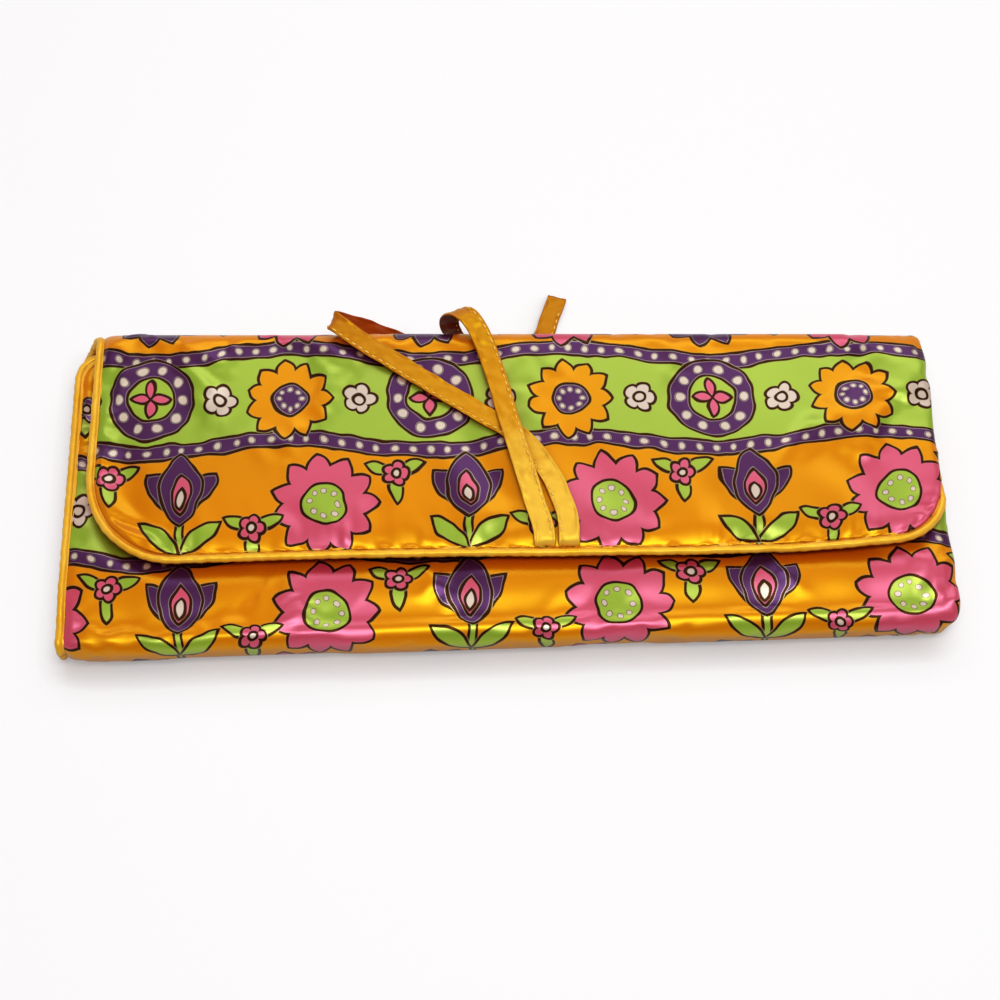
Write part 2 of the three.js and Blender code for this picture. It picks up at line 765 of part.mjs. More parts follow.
function addTie(name, rows) {
  const places = rows.map((row) => new THREE.Vector3(...row.slice(0, 3)));
  const upperFaces = rows.map((row) => new THREE.Vector3(...row.slice(3)));
  const middle = new THREE.CatmullRomCurve3(places, false, 'centripetal');
  const facing = new THREE.CatmullRomCurve3(upperFaces, false, 'centripetal');
  const count = (rows.length - 1) * tieStepsPerRow;
  const at = (curve, i) => curve.getPoint(i / count);
  const points = Array.from({ length: count + 1 }, (_, i) => at(middle, i));
  const half = tieWidth / 2;
  const flat = tieThickness / 2;
  const round = flat * 0.5;
  const section = new THREE.Shape([
    new THREE.Vector2(-half, -flat + round),
    new THREE.Vector2(-half + round, -flat),
    new THREE.Vector2(half - round, -flat),
    new THREE.Vector2(half, -flat + round),
    new THREE.Vector2(half, flat - round),
    new THREE.Vector2(half - round, flat),
    new THREE.Vector2(-half + round, flat),
    new THREE.Vector2(-half, flat - round),
  ]);
  const length = points.slice(1).reduce((sum, point, i) => sum + point.distanceTo(points[i]), 0);
  console.log(`${name} is ${length.toFixed(1)} mm long`);
  addMesh(group, name, alongRoute(section, points, (i) => at(facing, i)), colours.tie, 0.4, 0);
}

addTie('tie_left', tieLeftRoute);
addTie('tie_right', tieRightRoute);

export default group;
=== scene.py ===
# A folding satin jewelry roll, closed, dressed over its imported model.
# Metres in the scene, +X along the roll, +Y to the far fold, +Z up. Lengths below are in millimetres.
import json
import math
from colorsys import rgb_to_hsv
import bpy
import numpy as np
from mathutils import Matrix, Vector

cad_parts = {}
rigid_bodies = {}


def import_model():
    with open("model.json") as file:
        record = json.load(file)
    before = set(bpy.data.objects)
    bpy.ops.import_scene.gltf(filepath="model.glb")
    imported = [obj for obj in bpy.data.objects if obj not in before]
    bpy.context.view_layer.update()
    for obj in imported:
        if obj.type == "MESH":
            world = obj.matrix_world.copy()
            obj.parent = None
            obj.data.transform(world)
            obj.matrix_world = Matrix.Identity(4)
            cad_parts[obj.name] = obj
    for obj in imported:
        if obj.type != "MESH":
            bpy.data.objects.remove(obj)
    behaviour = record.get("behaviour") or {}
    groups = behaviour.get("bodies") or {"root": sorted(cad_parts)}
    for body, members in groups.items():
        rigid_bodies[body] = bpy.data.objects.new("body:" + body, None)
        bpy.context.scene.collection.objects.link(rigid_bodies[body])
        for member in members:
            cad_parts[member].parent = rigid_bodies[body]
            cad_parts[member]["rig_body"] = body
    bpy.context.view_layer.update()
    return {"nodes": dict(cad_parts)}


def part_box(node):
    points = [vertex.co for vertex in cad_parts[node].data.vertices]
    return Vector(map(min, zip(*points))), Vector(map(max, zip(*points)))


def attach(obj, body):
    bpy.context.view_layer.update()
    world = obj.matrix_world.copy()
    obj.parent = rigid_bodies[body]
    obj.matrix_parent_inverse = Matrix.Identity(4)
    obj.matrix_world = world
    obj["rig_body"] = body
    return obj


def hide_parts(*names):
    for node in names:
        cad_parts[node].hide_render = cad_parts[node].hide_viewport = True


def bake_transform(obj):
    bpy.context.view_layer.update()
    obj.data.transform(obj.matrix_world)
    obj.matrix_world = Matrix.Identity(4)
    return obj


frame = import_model()
mm = 0.001


def boxOf(node):
    low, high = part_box(node)
    return np.array(low) / mm, np.array(high) / mm


# The roll's own sizes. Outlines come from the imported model, cloth and wadding are set here.
baseLow, baseHigh = boxOf("base_cover")
flapLow, flapHigh = boxOf("flap_cover")
foldLow = boxOf("near_fold_cover")[0]
frontHigh = boxOf("front_cover")[1]
roll = {
    "left": baseLow[0],
    "right": baseHigh[0],
    "flapLeft": flapLow[0],
    "flapRight": flapHigh[0],
    "nearY": foldLow[1],
    "farY": -foldLow[1],
    "frontTop": frontHigh[2],
    "flapTop": flapHigh[2],
    "flapReach": 70.4,        # flap, from the far edge to its sewn end
    "flapBow": 2.6,           # how far that end bows out
    "flapBowFrom": 64.0,      # the bow grows between these distances from the left end
    "flapBowTo": 199.0,
    "flapBowFall": 46.0,      # and falls by this share over this distance to the right end
    "flapBowFallShare": 0.8,
    "frontTipRoom": 8.2,      # from the far edge back to the front panel's sewn end
    "panel": 3.9,             # padded panel, cover to lining
    "seamHalf": 0.5,          # half the panel's thickness where it enters the piping
    "seamOut": 0.6,           # the cloth runs this far into the piping
    "edgeRound": 7.5,         # the wadding thins over this distance from a seam
    "edgeSoft": 0.6,          # share of that fall which is an even slope, the rest is round
    "foldRadius": 6.0,
    "foldSkew": 0.038,        # the far fold lies askew by this share of the length
    "cornerLeft": 24.0,
    "cornerRight": 13.0,
    "frontCorner": 6.0,
    "pipingOut": 1.7,         # from the seam to the middle of the piping
    "nearCornerIn": 3.6,      # the near fold's right end is drawn in by this much, so it looks round
    "nearCornerAt": 1.5,      # most of all this far before the end of its lower quarter
    "nearCornerSpan": 5.5,
}


def toLinear(code):
    channels = [int(code[i:i + 2], 16) / 255 for i in (1, 3, 5)]
    return [c / 12.92 if c <= 0.04045 else ((c + 0.055) / 1.055) ** 2.4 for c in channels] + [1.0]


def addNode(tree, kind, inputs=(), out=0, **settings):
    # adds one shader node, sets it up and links or fills its inputs; gives back one output
    node = tree.nodes.new("ShaderNode" + kind)
    for name, value in settings.items():
        setattr(node, name, value)
    for key, value in inputs.items() if isinstance(inputs, dict) else enumerate(inputs):
        if isinstance(value, bpy.types.NodeSocket):
            tree.links.new(value, node.inputs[key])
        elif value is not None:
            node.inputs[key].default_value = value
    return node.outputs[out]


def newGroup(name, inputs, outputs):
    tree = bpy.data.node_groups.new(name, "ShaderNodeTree")
    for way, sockets in (("INPUT", inputs), ("OUTPUT", outputs)):
        for label, kind in sockets.items():
            tree.interface.new_socket(label, in_out=way, socket_type="NodeSocket" + kind)
    given = tree.nodes.new("NodeGroupInput").outputs
    wanted = tree.nodes.new("NodeGroupOutput").inputs
    return tree, given, wanted


def newMaterial(name):
    material = bpy.data.materials.new(name)
    material.use_nodes = True
    tree = material.node_tree
    tree.nodes.clear()
    return material, tree


def finishMaterial(tree, shader):
    output = tree.nodes.new("ShaderNodeOutputMaterial")
    tree.links.new(shader, output.inputs["Surface"])


def placeInMm(tree, uvMap=None):
    # where a point lies in its piece, or on the piece's flat cloth, in millimetres
    place = addNode(tree, "UVMap", uv_map=uvMap) if uvMap else addNode(tree, "TexCoord", out="Object")
    return addNode(tree, "VectorMath", {0: place, "Scale": 1 / mm}, operation="SCALE")


# The camera stands where the photograph was taken from.
view = {
    "elevation": 63.385,
    "azimuth": -1.33,
    "distance": 525.3,
    "roll": -0.676,
    "target": (-1.275, -3.622, 8.0),
    "focalPixels": 1800.6,
    "picturePixels": 1000,
    "sensor": 36.0,
}


def addCamera():
    up, turn, tilt = (math.radians(view[key]) for key in ("elevation", "azimuth", "roll"))
    away = Vector((math.sin(turn) * math.cos(up), -math.cos(turn) * math.cos(up), math.sin(up)))
    across = Vector((math.cos(turn), math.sin(turn), 0))
    above = away.cross(across)
    right = across * math.cos(tilt) + above * math.sin(tilt)
    top = above * math.cos(tilt) - across * math.sin(tilt)
    eye = (Vector(view["target"]) + away * view["distance"]) * mm
    data = bpy.data.cameras.new("camera")
    data.sensor_width = view["sensor"]
    data.lens = view["focalPixels"] * view["sensor"] / view["picturePixels"]
    data.clip_start = 0.01
    camera = bpy.data.objects.new("camera", data)
    camera.matrix_world = Matrix.Translation(eye) @ Matrix((right, top, away)).transposed().to_4x4()
    bpy.context.scene.collection.objects.link(camera)
    bpy.context.scene.camera = camera


addCamera()
print("camera placed")


# The cloth's own line, seen along X: from the flap's front edge over the far fold, under the base,
# round the near fold and along the front panel. Each row is y, z and the direction inward.
def smoothStep(value, low, high):
    share = np.clip((value - low) / (high - low), 0, 1)
    return share * share * (3 - 2 * share)


def arc(centreY, centreZ, fromDegrees, toDegrees, steps=30):
    angle = np.radians(np.linspace(fromDegrees, toDegrees, steps + 1))
    y, z = np.cos(angle), np.sin(angle)
    radius = roll["foldRadius"]
    return np.stack([centreY + radius * y, centreZ + radius * z, -y, -z], 1)


def level(fromY, toY, z, inward, steps=40):
    y = np.linspace(fromY, toY, steps + 1)
    return np.stack([y, np.full_like(y, z), 0 * y, np.full_like(y, inward)], 1)


farMiddle = roll["farY"] - roll["foldRadius"]
nearMiddle = roll["nearY"] + roll["foldRadius"]
frontEndY = roll["farY"] - roll["frontTipRoom"]
flapEndY = roll["farY"] - roll["flapReach"]
stretches = [
    ("flap", level(flapEndY, farMiddle, roll["flapTop"], -1)),
    ("farTop", arc(farMiddle, roll["flapTop"] - roll["foldRadius"], 90, 0)),
    ("farLow", arc(farMiddle, roll["foldRadius"], 0, -90)),
    ("base", level(farMiddle, nearMiddle, 0, 1)),
    ("nearLow", arc(nearMiddle, roll["foldRadius"], 270, 180)),
    ("nearTop", arc(nearMiddle, roll["frontTop"] - roll["foldRadius"], 180, 90)),
    ("front", level(nearMiddle, frontEndY, roll["frontTop"], -1)),
]


def clothPath():
    points = np.concatenate([part for _, part in stretches])
    steps = np.hypot(*np.diff(points[:, :2], axis=0).T)
    along = np.concatenate([[0], np.cumsum(steps)])
    y, z = points[:, 0], points[:, 1]
    onFlap = along < along[len(stretches[0][1]) + len(stretches[1][1]) - 1] + 0.01
    flapSkew = np.clip((y - flapEndY) / (farMiddle - flapEndY), 0, 1)
    bodySkew = np.clip((y - nearMiddle) / (farMiddle - nearMiddle), 0, 1)
    skew = np.where(onFlap, flapSkew, bodySkew)
    corner = roll["foldRadius"] * (1 - math.sqrt(0.5))
    climb = np.clip((z - corner) / (roll["flapTop"] - 2 * corner), 0, 1)
    width = np.where(y > farMiddle - 0.01, climb, np.where(onFlap, 1, 0))
    lean = np.gradient(points[:, :2], axis=0)
    lean /= np.maximum(np.hypot(*lean.T), 1e-9)[:, None]
    return np.column_stack([along, points, skew, width, lean])


path = clothPath()
clothLength = path[-1, 0]
starts = {}
ends = {}
counted = 0
for stretchName, stretchPoints in stretches:
    starts[stretchName] = path[counted, 0]
    counted += len(stretchPoints)
    ends[stretchName] = path[counted - 1, 0]
farSplit = (ends["farTop"] + starts["farLow"]) / 2
nearSplit = (ends["nearLow"] + starts["nearTop"]) / 2


def onPath(s, column):
    return np.interp(s, path[:, 0], path[:, column])


def sidesAt(s):
    share = onPath(s, 6)
    left = roll["left"] + (roll["flapLeft"] - roll["left"]) * share
    right = roll["right"] + (roll["flapRight"] - roll["right"]) * share
    fromCorner = s - ends["nearLow"] + roll["nearCornerAt"]
    drawn = np.exp(-(fromCorner / roll["nearCornerSpan"]) ** 2)
    return left, right - roll["nearCornerIn"] * drawn


def bowAt(x, s):
    # the flap's sewn end bows out, most of all right of the middle
    rise = smoothStep(x - roll["left"], roll["flapBowFrom"], roll["flapBowTo"])
    fall = smoothStep(x, roll["right"] - roll["flapBowFall"], roll["right"])
    share = (1 - onPath(s, 5)) * (s < farSplit)
    return roll["flapBow"] * (rise - roll["flapBowFallShare"] * fall) * share


def place(x, s, depth):
    # the point at x along the roll and s along the cloth, at a depth under the outer face
    beyond = s - np.clip(s, 0, clothLength)
    y = onPath(s, 1) + onPath(s, 3) * depth + beyond
    z = onPath(s, 2) + onPath(s, 4) * depth
    return np.stack([x, y - roll["foldSkew"] * x * onPath(s, 5) - bowAt(x, s), z], -1)


def outward(s):
    flat = np.zeros(np.shape(s))
    return np.stack([flat, -onPath(s, 3), -onPath(s, 4)], -1)


def toEndAt(s):
    # distance to the sewn end, with the corner radii there
    nearFlap = s < clothLength / 2
    toEnd = np.where(nearFlap, s, clothLength - s) + roll["seamOut"]
    left = np.where(nearFlap, roll["cornerLeft"], roll["frontCorner"]) + roll["seamOut"]
    right = np.where(nearFlap, roll["cornerRight"], roll["frontCorner"]) + roll["seamOut"]
    return toEnd, left, right


def cornerInset(radius, toEnd):
    short = np.clip(radius - toEnd, 0, radius)
    return radius - np.sqrt(np.maximum(radius ** 2 - short ** 2, 0))


def edgeDistance(x, s):
    # how far inside the seam a place of the flat cloth lies, less than nothing outside
    left, right = sidesAt(s)
    toEnd, cornerLeft, cornerRight = toEndAt(s)
    fromLeft = x - left + roll["seamOut"]
    fromRight = right + roll["seamOut"] - x
    least = np.minimum(np.minimum(fromLeft, fromRight), toEnd)
    for side, radius in ((fromLeft, cornerLeft), (fromRight, cornerRight)):
        within = (side < radius) & (toEnd < radius)
        least = np.where(within, np.minimum(least, radius - np.hypot(radius - side, radius - toEnd)), least)
    return least


def seamDepth(distance):
    # how far the padded panel is drawn in towards its seam
    left = 1 - np.clip(distance / roll["edgeRound"], 0, 1)
    fall = roll["edgeSoft"] * left ** 2 + (1 - roll["edgeSoft"]) * (1 - np.sqrt(1 - left ** 2))
    return (roll["panel"] / 2 - roll["seamHalf"]) * fall


def clothRows(spacing):
    # places along the cloth, closer together round the corners of the two sewn ends
    flapReach = roll["cornerLeft"] + roll["seamOut"]
    frontReach = roll["frontCorner"] + roll["seamOut"]
    turns = np.linspace(0, math.pi / 2, 15)
    first = -roll["seamOut"] + flapReach * (1 - np.cos(turns))
    turns = np.linspace(math.pi / 2, 0, 7)
    last = clothLength + roll["seamOut"] - frontReach * (1 - np.cos(turns))
    rows = [first]
    for start, end in ((first[-1], farSplit), (farSplit, nearSplit), (nearSplit, last[0])):
        count = max(1, round((end - start) / spacing))
        rows.append(np.linspace(start, end, count + 1)[1:])
    return np.concatenate(rows + [last[1:]])


# At the right end the cloth curls over the edge and hides its piping, as a bulge seen in section.
curl = {
    "reach": 11.0,            # the cloth is moved over this distance from the right edge
    "columns": 9,
    "wide": 3.2,              # the bulge's half width and half height
    "high": 1.9,
    "out": 2.5,               # how far the bulge stands out past the right edge
    "under": 128.0,           # it ends this many degrees round from the top
    "pipingOut": 1.2,
    "pipingDepth": 3.1,
}


def curlShare(s):
    # full along the flap and the front panel, none on the base and round the flap's corner
    corner = smoothStep(s, roll["cornerRight"] * 0.35, roll["cornerRight"] * 1.5)
    return np.where(s < clothLength / 2, corner * (1 - smoothStep(s, starts["farLow"], ends["farLow"])),
                    smoothStep(s, starts["nearLow"], ends["nearLow"]))


def curled(x, s, depth):
    # places of the cloth near the right edge moved onto the bulge, and the cloth's length up to there
    turns = np.radians(np.linspace(0, curl["under"], 40))
    across = curl["out"] - curl["wide"] * (1 - np.sin(turns))
    down = curl["high"] * (1 - np.cos(turns))
    flatFrom = curl["reach"] - roll["seamOut"]
    bendX = np.concatenate([[-flatFrom], across])
    bendDown = np.concatenate([[0], down])
    run = np.concatenate([[0], np.cumsum(np.hypot(np.diff(bendX), np.diff(bendDown)))])
    right = sidesAt(s)[1] + roll["seamOut"] - cornerInset(toEndAt(s)[2], toEndAt(s)[0])
    inside = np.clip(right - x, 0, curl["reach"])
    share = curlShare(s) * (inside < curl["reach"])
    along = (1 - inside / curl["reach"]) * run[-1]
    edge = right - roll["seamOut"]
    newX = edge + np.interp(along, run, bendX)
    newDepth = np.interp(along, run, bendDown)
    keep = smoothStep(inside, 2.0, curl["reach"])
    depthHere = depth * keep + newDepth
    flatX = x + (edge - flatFrom + along - x) * share
    return x + (newX - x) * share, depth + (depthHere - depth) * share, flatX


def clothGrid(spacing):
    s = clothRows(spacing)
    columns = round((roll["right"] - roll["left"]) / spacing)
    fineFrom = 1 - curl["reach"] / (roll["right"] - roll["left"])
    share = np.linspace(0, fineFrom, columns)[:-1]
    share = np.concatenate([share, np.linspace(fineFrom, 1, curl["columns"])])
    columns = len(share) - 1
    left, right = sidesAt(s)
    toEnd, cornerLeft, cornerRight = toEndAt(s)
    left = left - roll["seamOut"] + cornerInset(cornerLeft, toEnd)
    right = right + roll["seamOut"] - cornerInset(cornerRight, toEnd)
    x = left[:, None] + (right - left)[:, None] * share[None, :]
    return x, np.repeat(s[:, None], columns + 1, 1)


def ripples(u, v, wavelength, seed, count=24, stretch=1.0):
    # smooth random waves of about one wavelength, longer along v where stretched
    rng = np.random.default_rng(seed)
    total = np.zeros(np.broadcast(u, v).shape)
    for _ in range(count):
        angle = rng.uniform(0, 2 * math.pi)
        pitch = 2 * math.pi / (wavelength * rng.uniform(0.7, 1.5))
        phase = rng.uniform(0, 2 * math.pi)
        total += np.cos(pitch * (u * math.cos(angle) + v * math.sin(angle) / stretch) + phase)
    return total / math.sqrt(count)


puckers = {
    "height": 0.42,           # of the small gathers that the seams pull into the cloth, mm
    "width": 4.8,
    "reach": 3.0,             # they are highest this far from the seam
    "patch": 34.0,            # places with more and with less of them lie this far apart
    "creaseBend": 1.6,        # the soft creases below wander sideways by this much
    "ridge": 0.55,            # beside each lies a ridge, by this share of its depth
    "ridgeAt": 1.9,           # and this many widths from it
}
# soft creases: from and to (x and distance from the flap's or the front panel's sewn end), width, depth
flapCreases = [
    ((-9.0, 37.0), (1.5, 10.0), 4.5, 0.75),
    ((1.5, 10.0), (-3.0, 0.5), 3.0, 0.5),
    ((-115.0, 15.0), (-98.0, 2.6), 1.5, 0.95),
    ((-110.0, 19.0), (-93.0, 5.5), 2.4, 0.6),
    ((-113.0, 30.0), (-103.0, 14.0), 3.5, 0.45),
    ((-113.0, 46.0), (-108.0, 12.0), 5.0, 0.45),
    ((22.0, 30.0), (44.0, 5.0), 6.0, 0.4),
    ((95.0, 26.0), (112.0, 6.0), 5.0, 0.45),
    ((60.0, 20.0), (66.0, 1.0), 3.5, 0.4),
    ((-62.0, 12.0), (-54.0, 0.5), 2.6, 0.4),
    ((-36.0, 14.0), (-33.0, 0.5), 3.0, 0.35),
]
frontCreases = [
    ((-116.0, 70.0), (-104.0, 87.0), 5.0, 0.5),
    ((-70.0, 66.0), (-66.0, 88.0), 5.0, 0.45),
    ((-22.0, 64.0), (-12.0, 86.0), 6.0, 0.5),
    ((30.0, 62.0), (22.0, 86.0), 5.0, 0.45),
    ((62.0, 64.0), (74.0, 88.0), 6.0, 0.5),
    ((98.0, 62.0), (104.0, 88.0), 5.0, 0.5),
]


def creaseDepth(x, along, creases):
    # valleys with rounded floors that fade out at both ends
    total = np.zeros(np.shape(x))
    for (fromX, fromS), (toX, toS), width, depth in creases:
        run = np.array([toX - fromX, toS - fromS])
        length = np.hypot(*run)
        share = ((x - fromX) * run[0] + (along - fromS) * run[1]) / length ** 2
        aside = ((x - fromX) * run[1] - (along - fromS) * run[0]) / length
        bent = aside + puckers["creaseBend"] * np.sin(share * 4.0 + fromX)
        fade = smoothStep(share, -0.25, 0.25) * smoothStep(-share, -1.2, -0.8)
        ridge = puckers["ridge"] * np.exp(-(bent / width - puckers["ridgeAt"]) ** 2)
        total += depth * fade * (np.exp(-(bent / width) ** 2) - ridge)
    return total


def seamGathers(x, s):
    # short gathers square to the nearest seam, irregular along it
    left, right = sidesAt(s)
    toEnd, _, _ = toEndAt(s)
    fromSide = np.minimum(x - left, right - x)
    distance = edgeDistance(x, s)
    wave = puckers["width"]
    alongEnd = ripples(x, s, wave, 61, stretch=4.0)
    alongSide = ripples(s, x, wave * 1.3, 62, stretch=4.0)
    atEnd = smoothStep(fromSide - toEnd, -6, 6)
    gather = alongEnd * atEnd + alongSide * (1 - atEnd)
    uneven = 0.55 + 0.45 * ripples(x, s, puckers["patch"], 63)
    near = distance / puckers["reach"] * np.exp(1 - distance / puckers["reach"])
    return puckers["height"] * gather * np.clip(uneven, 0.1, 1.3) * near


def gridFaces(rows, columns, flip=False):
    index = np.arange(rows * columns).reshape(rows, columns)
    quads = [index[:-1, :-1], index[1:, :-1], index[1:, 1:], index[:-1, 1:]]
    if flip:
        quads.reverse()
    return np.stack(quads, -1).reshape(-1, 4)


def makeObject(name, points, faces, materials, smooth=True):
    mesh = bpy.data.meshes.new(name)
    mesh.from_pydata((np.asarray(points).reshape(-1, 3) * mm).tolist(), [], [list(f) for f in faces])
    mesh.validate()
    mesh.update()
    if smooth:
        mesh.polygons.foreach_set("use_smooth", [True] * len(mesh.polygons))
    for material in materials:
        mesh.materials.append(material)
    piece = bpy.data.objects.new(name, mesh)
    bpy.context.scene.collection.objects.link(piece)
    return piece


def giveFlatPlaces(piece, x, s, name="flatCloth"):
    # keeps each point's place on the flat cloth, in metres, for the print
    mesh = piece.data
    layer = mesh.uv_layers.new(name=name)
    corner = np.zeros(len(mesh.loops), np.int32)
    mesh.loops.foreach_get("vertex_index", corner)
    flat = np.stack([x.ravel()[corner], s.ravel()[corner]], 1) * mm
    layer.data.foreach_set("uv", flat.ravel().astype(np.float32))


# Polyester satin, screen printed. Long floats of the warp lie on the face, so the colours look deep
# and the light spreads in soft bands along every bend.
printInks = {
    "ground": "#DB6C03",
    "green": "#80A120",
    "purple": "#3C1632",
    "pink": "#CC3C50",
    "white": "#C9B09C",
    "line": "#230804",
}
# the sheen over each ink is lighter and leans to another hue: gold over orange, lilac over purple
sheens = {
    "ground": "#FFE028",
    "green": "#F0FF7C",
    "purple": "#7C5296",
    "pink": "#FF9CC4",
    "white": "#FFF6EA",
    "line": "#4C1C14",
}
# the drawing's sizes in millimetres
flower = {
    "cell": 41.0,             # width of one flower's place
    "repeat": 93.0,           # height of the whole print
    "lowerRow": 13.5,         # heights in it of the two rows and of the ribbon between them
    "ribbonAt": 46.5,
    "upperRow": 78.0,
    "ribbonHalf": 14.5,
    "ribbonWave": 2.2,
    "braidHalf": 2.3,
    "halfLine": 0.47,         # half the drawn line
    "halfFineLine": 0.12,     # and round the white dots
    "bleed": 0.1,             # an ink's edge is this soft
    "rim": 0.2,               # pale cloth shows this far beside a line, by the share below
    "rimShare": 0.16,
    "daisyPetals": 11,
    "blossomPetals": 5,
}


def leafGroup():
    # distance from a pointed leaf that lies along +X, turned by an angle
    tree, given, wanted = newGroup(
        "leaf", {"Point": "Vector", "Angle": "Float", "Middle": "Float", "Bow": "Float", "Radius": "Float"},
        {"Distance": "Float"})
    turned = addNode(tree, "VectorRotate", {"Vector": given["Point"], "Angle": given["Angle"]},
                     rotation_type="Z_AXIS")
    split = addNode(tree, "SeparateXYZ", [turned]).node
    along = addNode(tree, "Math", [split.outputs[0], given["Middle"]], operation="SUBTRACT")
    side = addNode(tree, "Math", [split.outputs[1]], operation="ABSOLUTE")
    side = addNode(tree, "Math", [side, given["Bow"]], operation="ADD")
    both = addNode(tree, "CombineXYZ", [along, side])
    reach = addNode(tree, "VectorMath", [both], out=1, operation="LENGTH")
    tree.links.new(addNode(tree, "Math", [reach, given["Radius"]], operation="SUBTRACT"), wanted["Distance"])
    return tree


def petalGroup():
    # folds a point round a flower's middle, so that one petal along +X stands for all
    tree, given, wanted = newGroup(
        "petalFold", {"Point": "Vector", "Half Angle": "Float"}, {"Point": "Vector"})
    split = addNode(tree, "SeparateXYZ", [given["Point"]]).node
    angle = addNode(tree, "Math", [split.outputs[1], split.outputs[0]], operation="ARCTAN2")
    least = addNode(tree, "Math", [given["Half Angle"], -1.0], operation="MULTIPLY")
    folded = addNode(tree, "Math", [angle, given["Half Angle"], least], operation="WRAP")
    reach = addNode(tree, "VectorMath", [given["Point"]], out=1, operation="LENGTH")
    aim = [addNode(tree, "Math", [folded], operation=kind) for kind in ("COSINE", "SINE")]
    place = [addNode(tree, "Math", [share, reach], operation="MULTIPLY") for share in aim]
    tree.links.new(addNode(tree, "CombineXYZ", place), wanted["Point"])
    return tree


def inkGroup():
    # lays one colour inside a shape, with a dark drawn line round it; the ink's edge bleeds a little,
    # and beside the line some of the pale cloth shows
    tree, given, wanted = newGroup(
        "ink", {"Under": "Color", "Distance": "Float", "Fill": "Color", "Half Line": "Float"},
        {"Color": "Color"})
    bleed = flower["bleed"]
    inside = addNode(tree, "MapRange", [given["Distance"], bleed, -bleed, 0.0, 1.0])
    away = addNode(tree, "Math", [given["Distance"]], operation="ABSOLUTE")
    fromLine = addNode(tree, "Math", [away, given["Half Line"]], operation="SUBTRACT")
    bare = addNode(tree, "MapRange", [fromLine, flower["rim"], 0.0, 0.0, flower["rimShare"]])
    line = addNode(tree, "MapRange", [fromLine, bleed, -bleed, 0.0, 1.0])
    white, dark = toLinear(printInks["white"]), toLinear(printInks["line"])
    colour = given["Under"]
    for share, ink in ((inside, given["Fill"]), (bare, white), (line, dark)):
        colour = addNode(tree, "Mix", {0: share, 6: colour, 7: ink}, out=2, data_type="RGBA")
    tree.links.new(colour, wanted["Color"])
    return tree


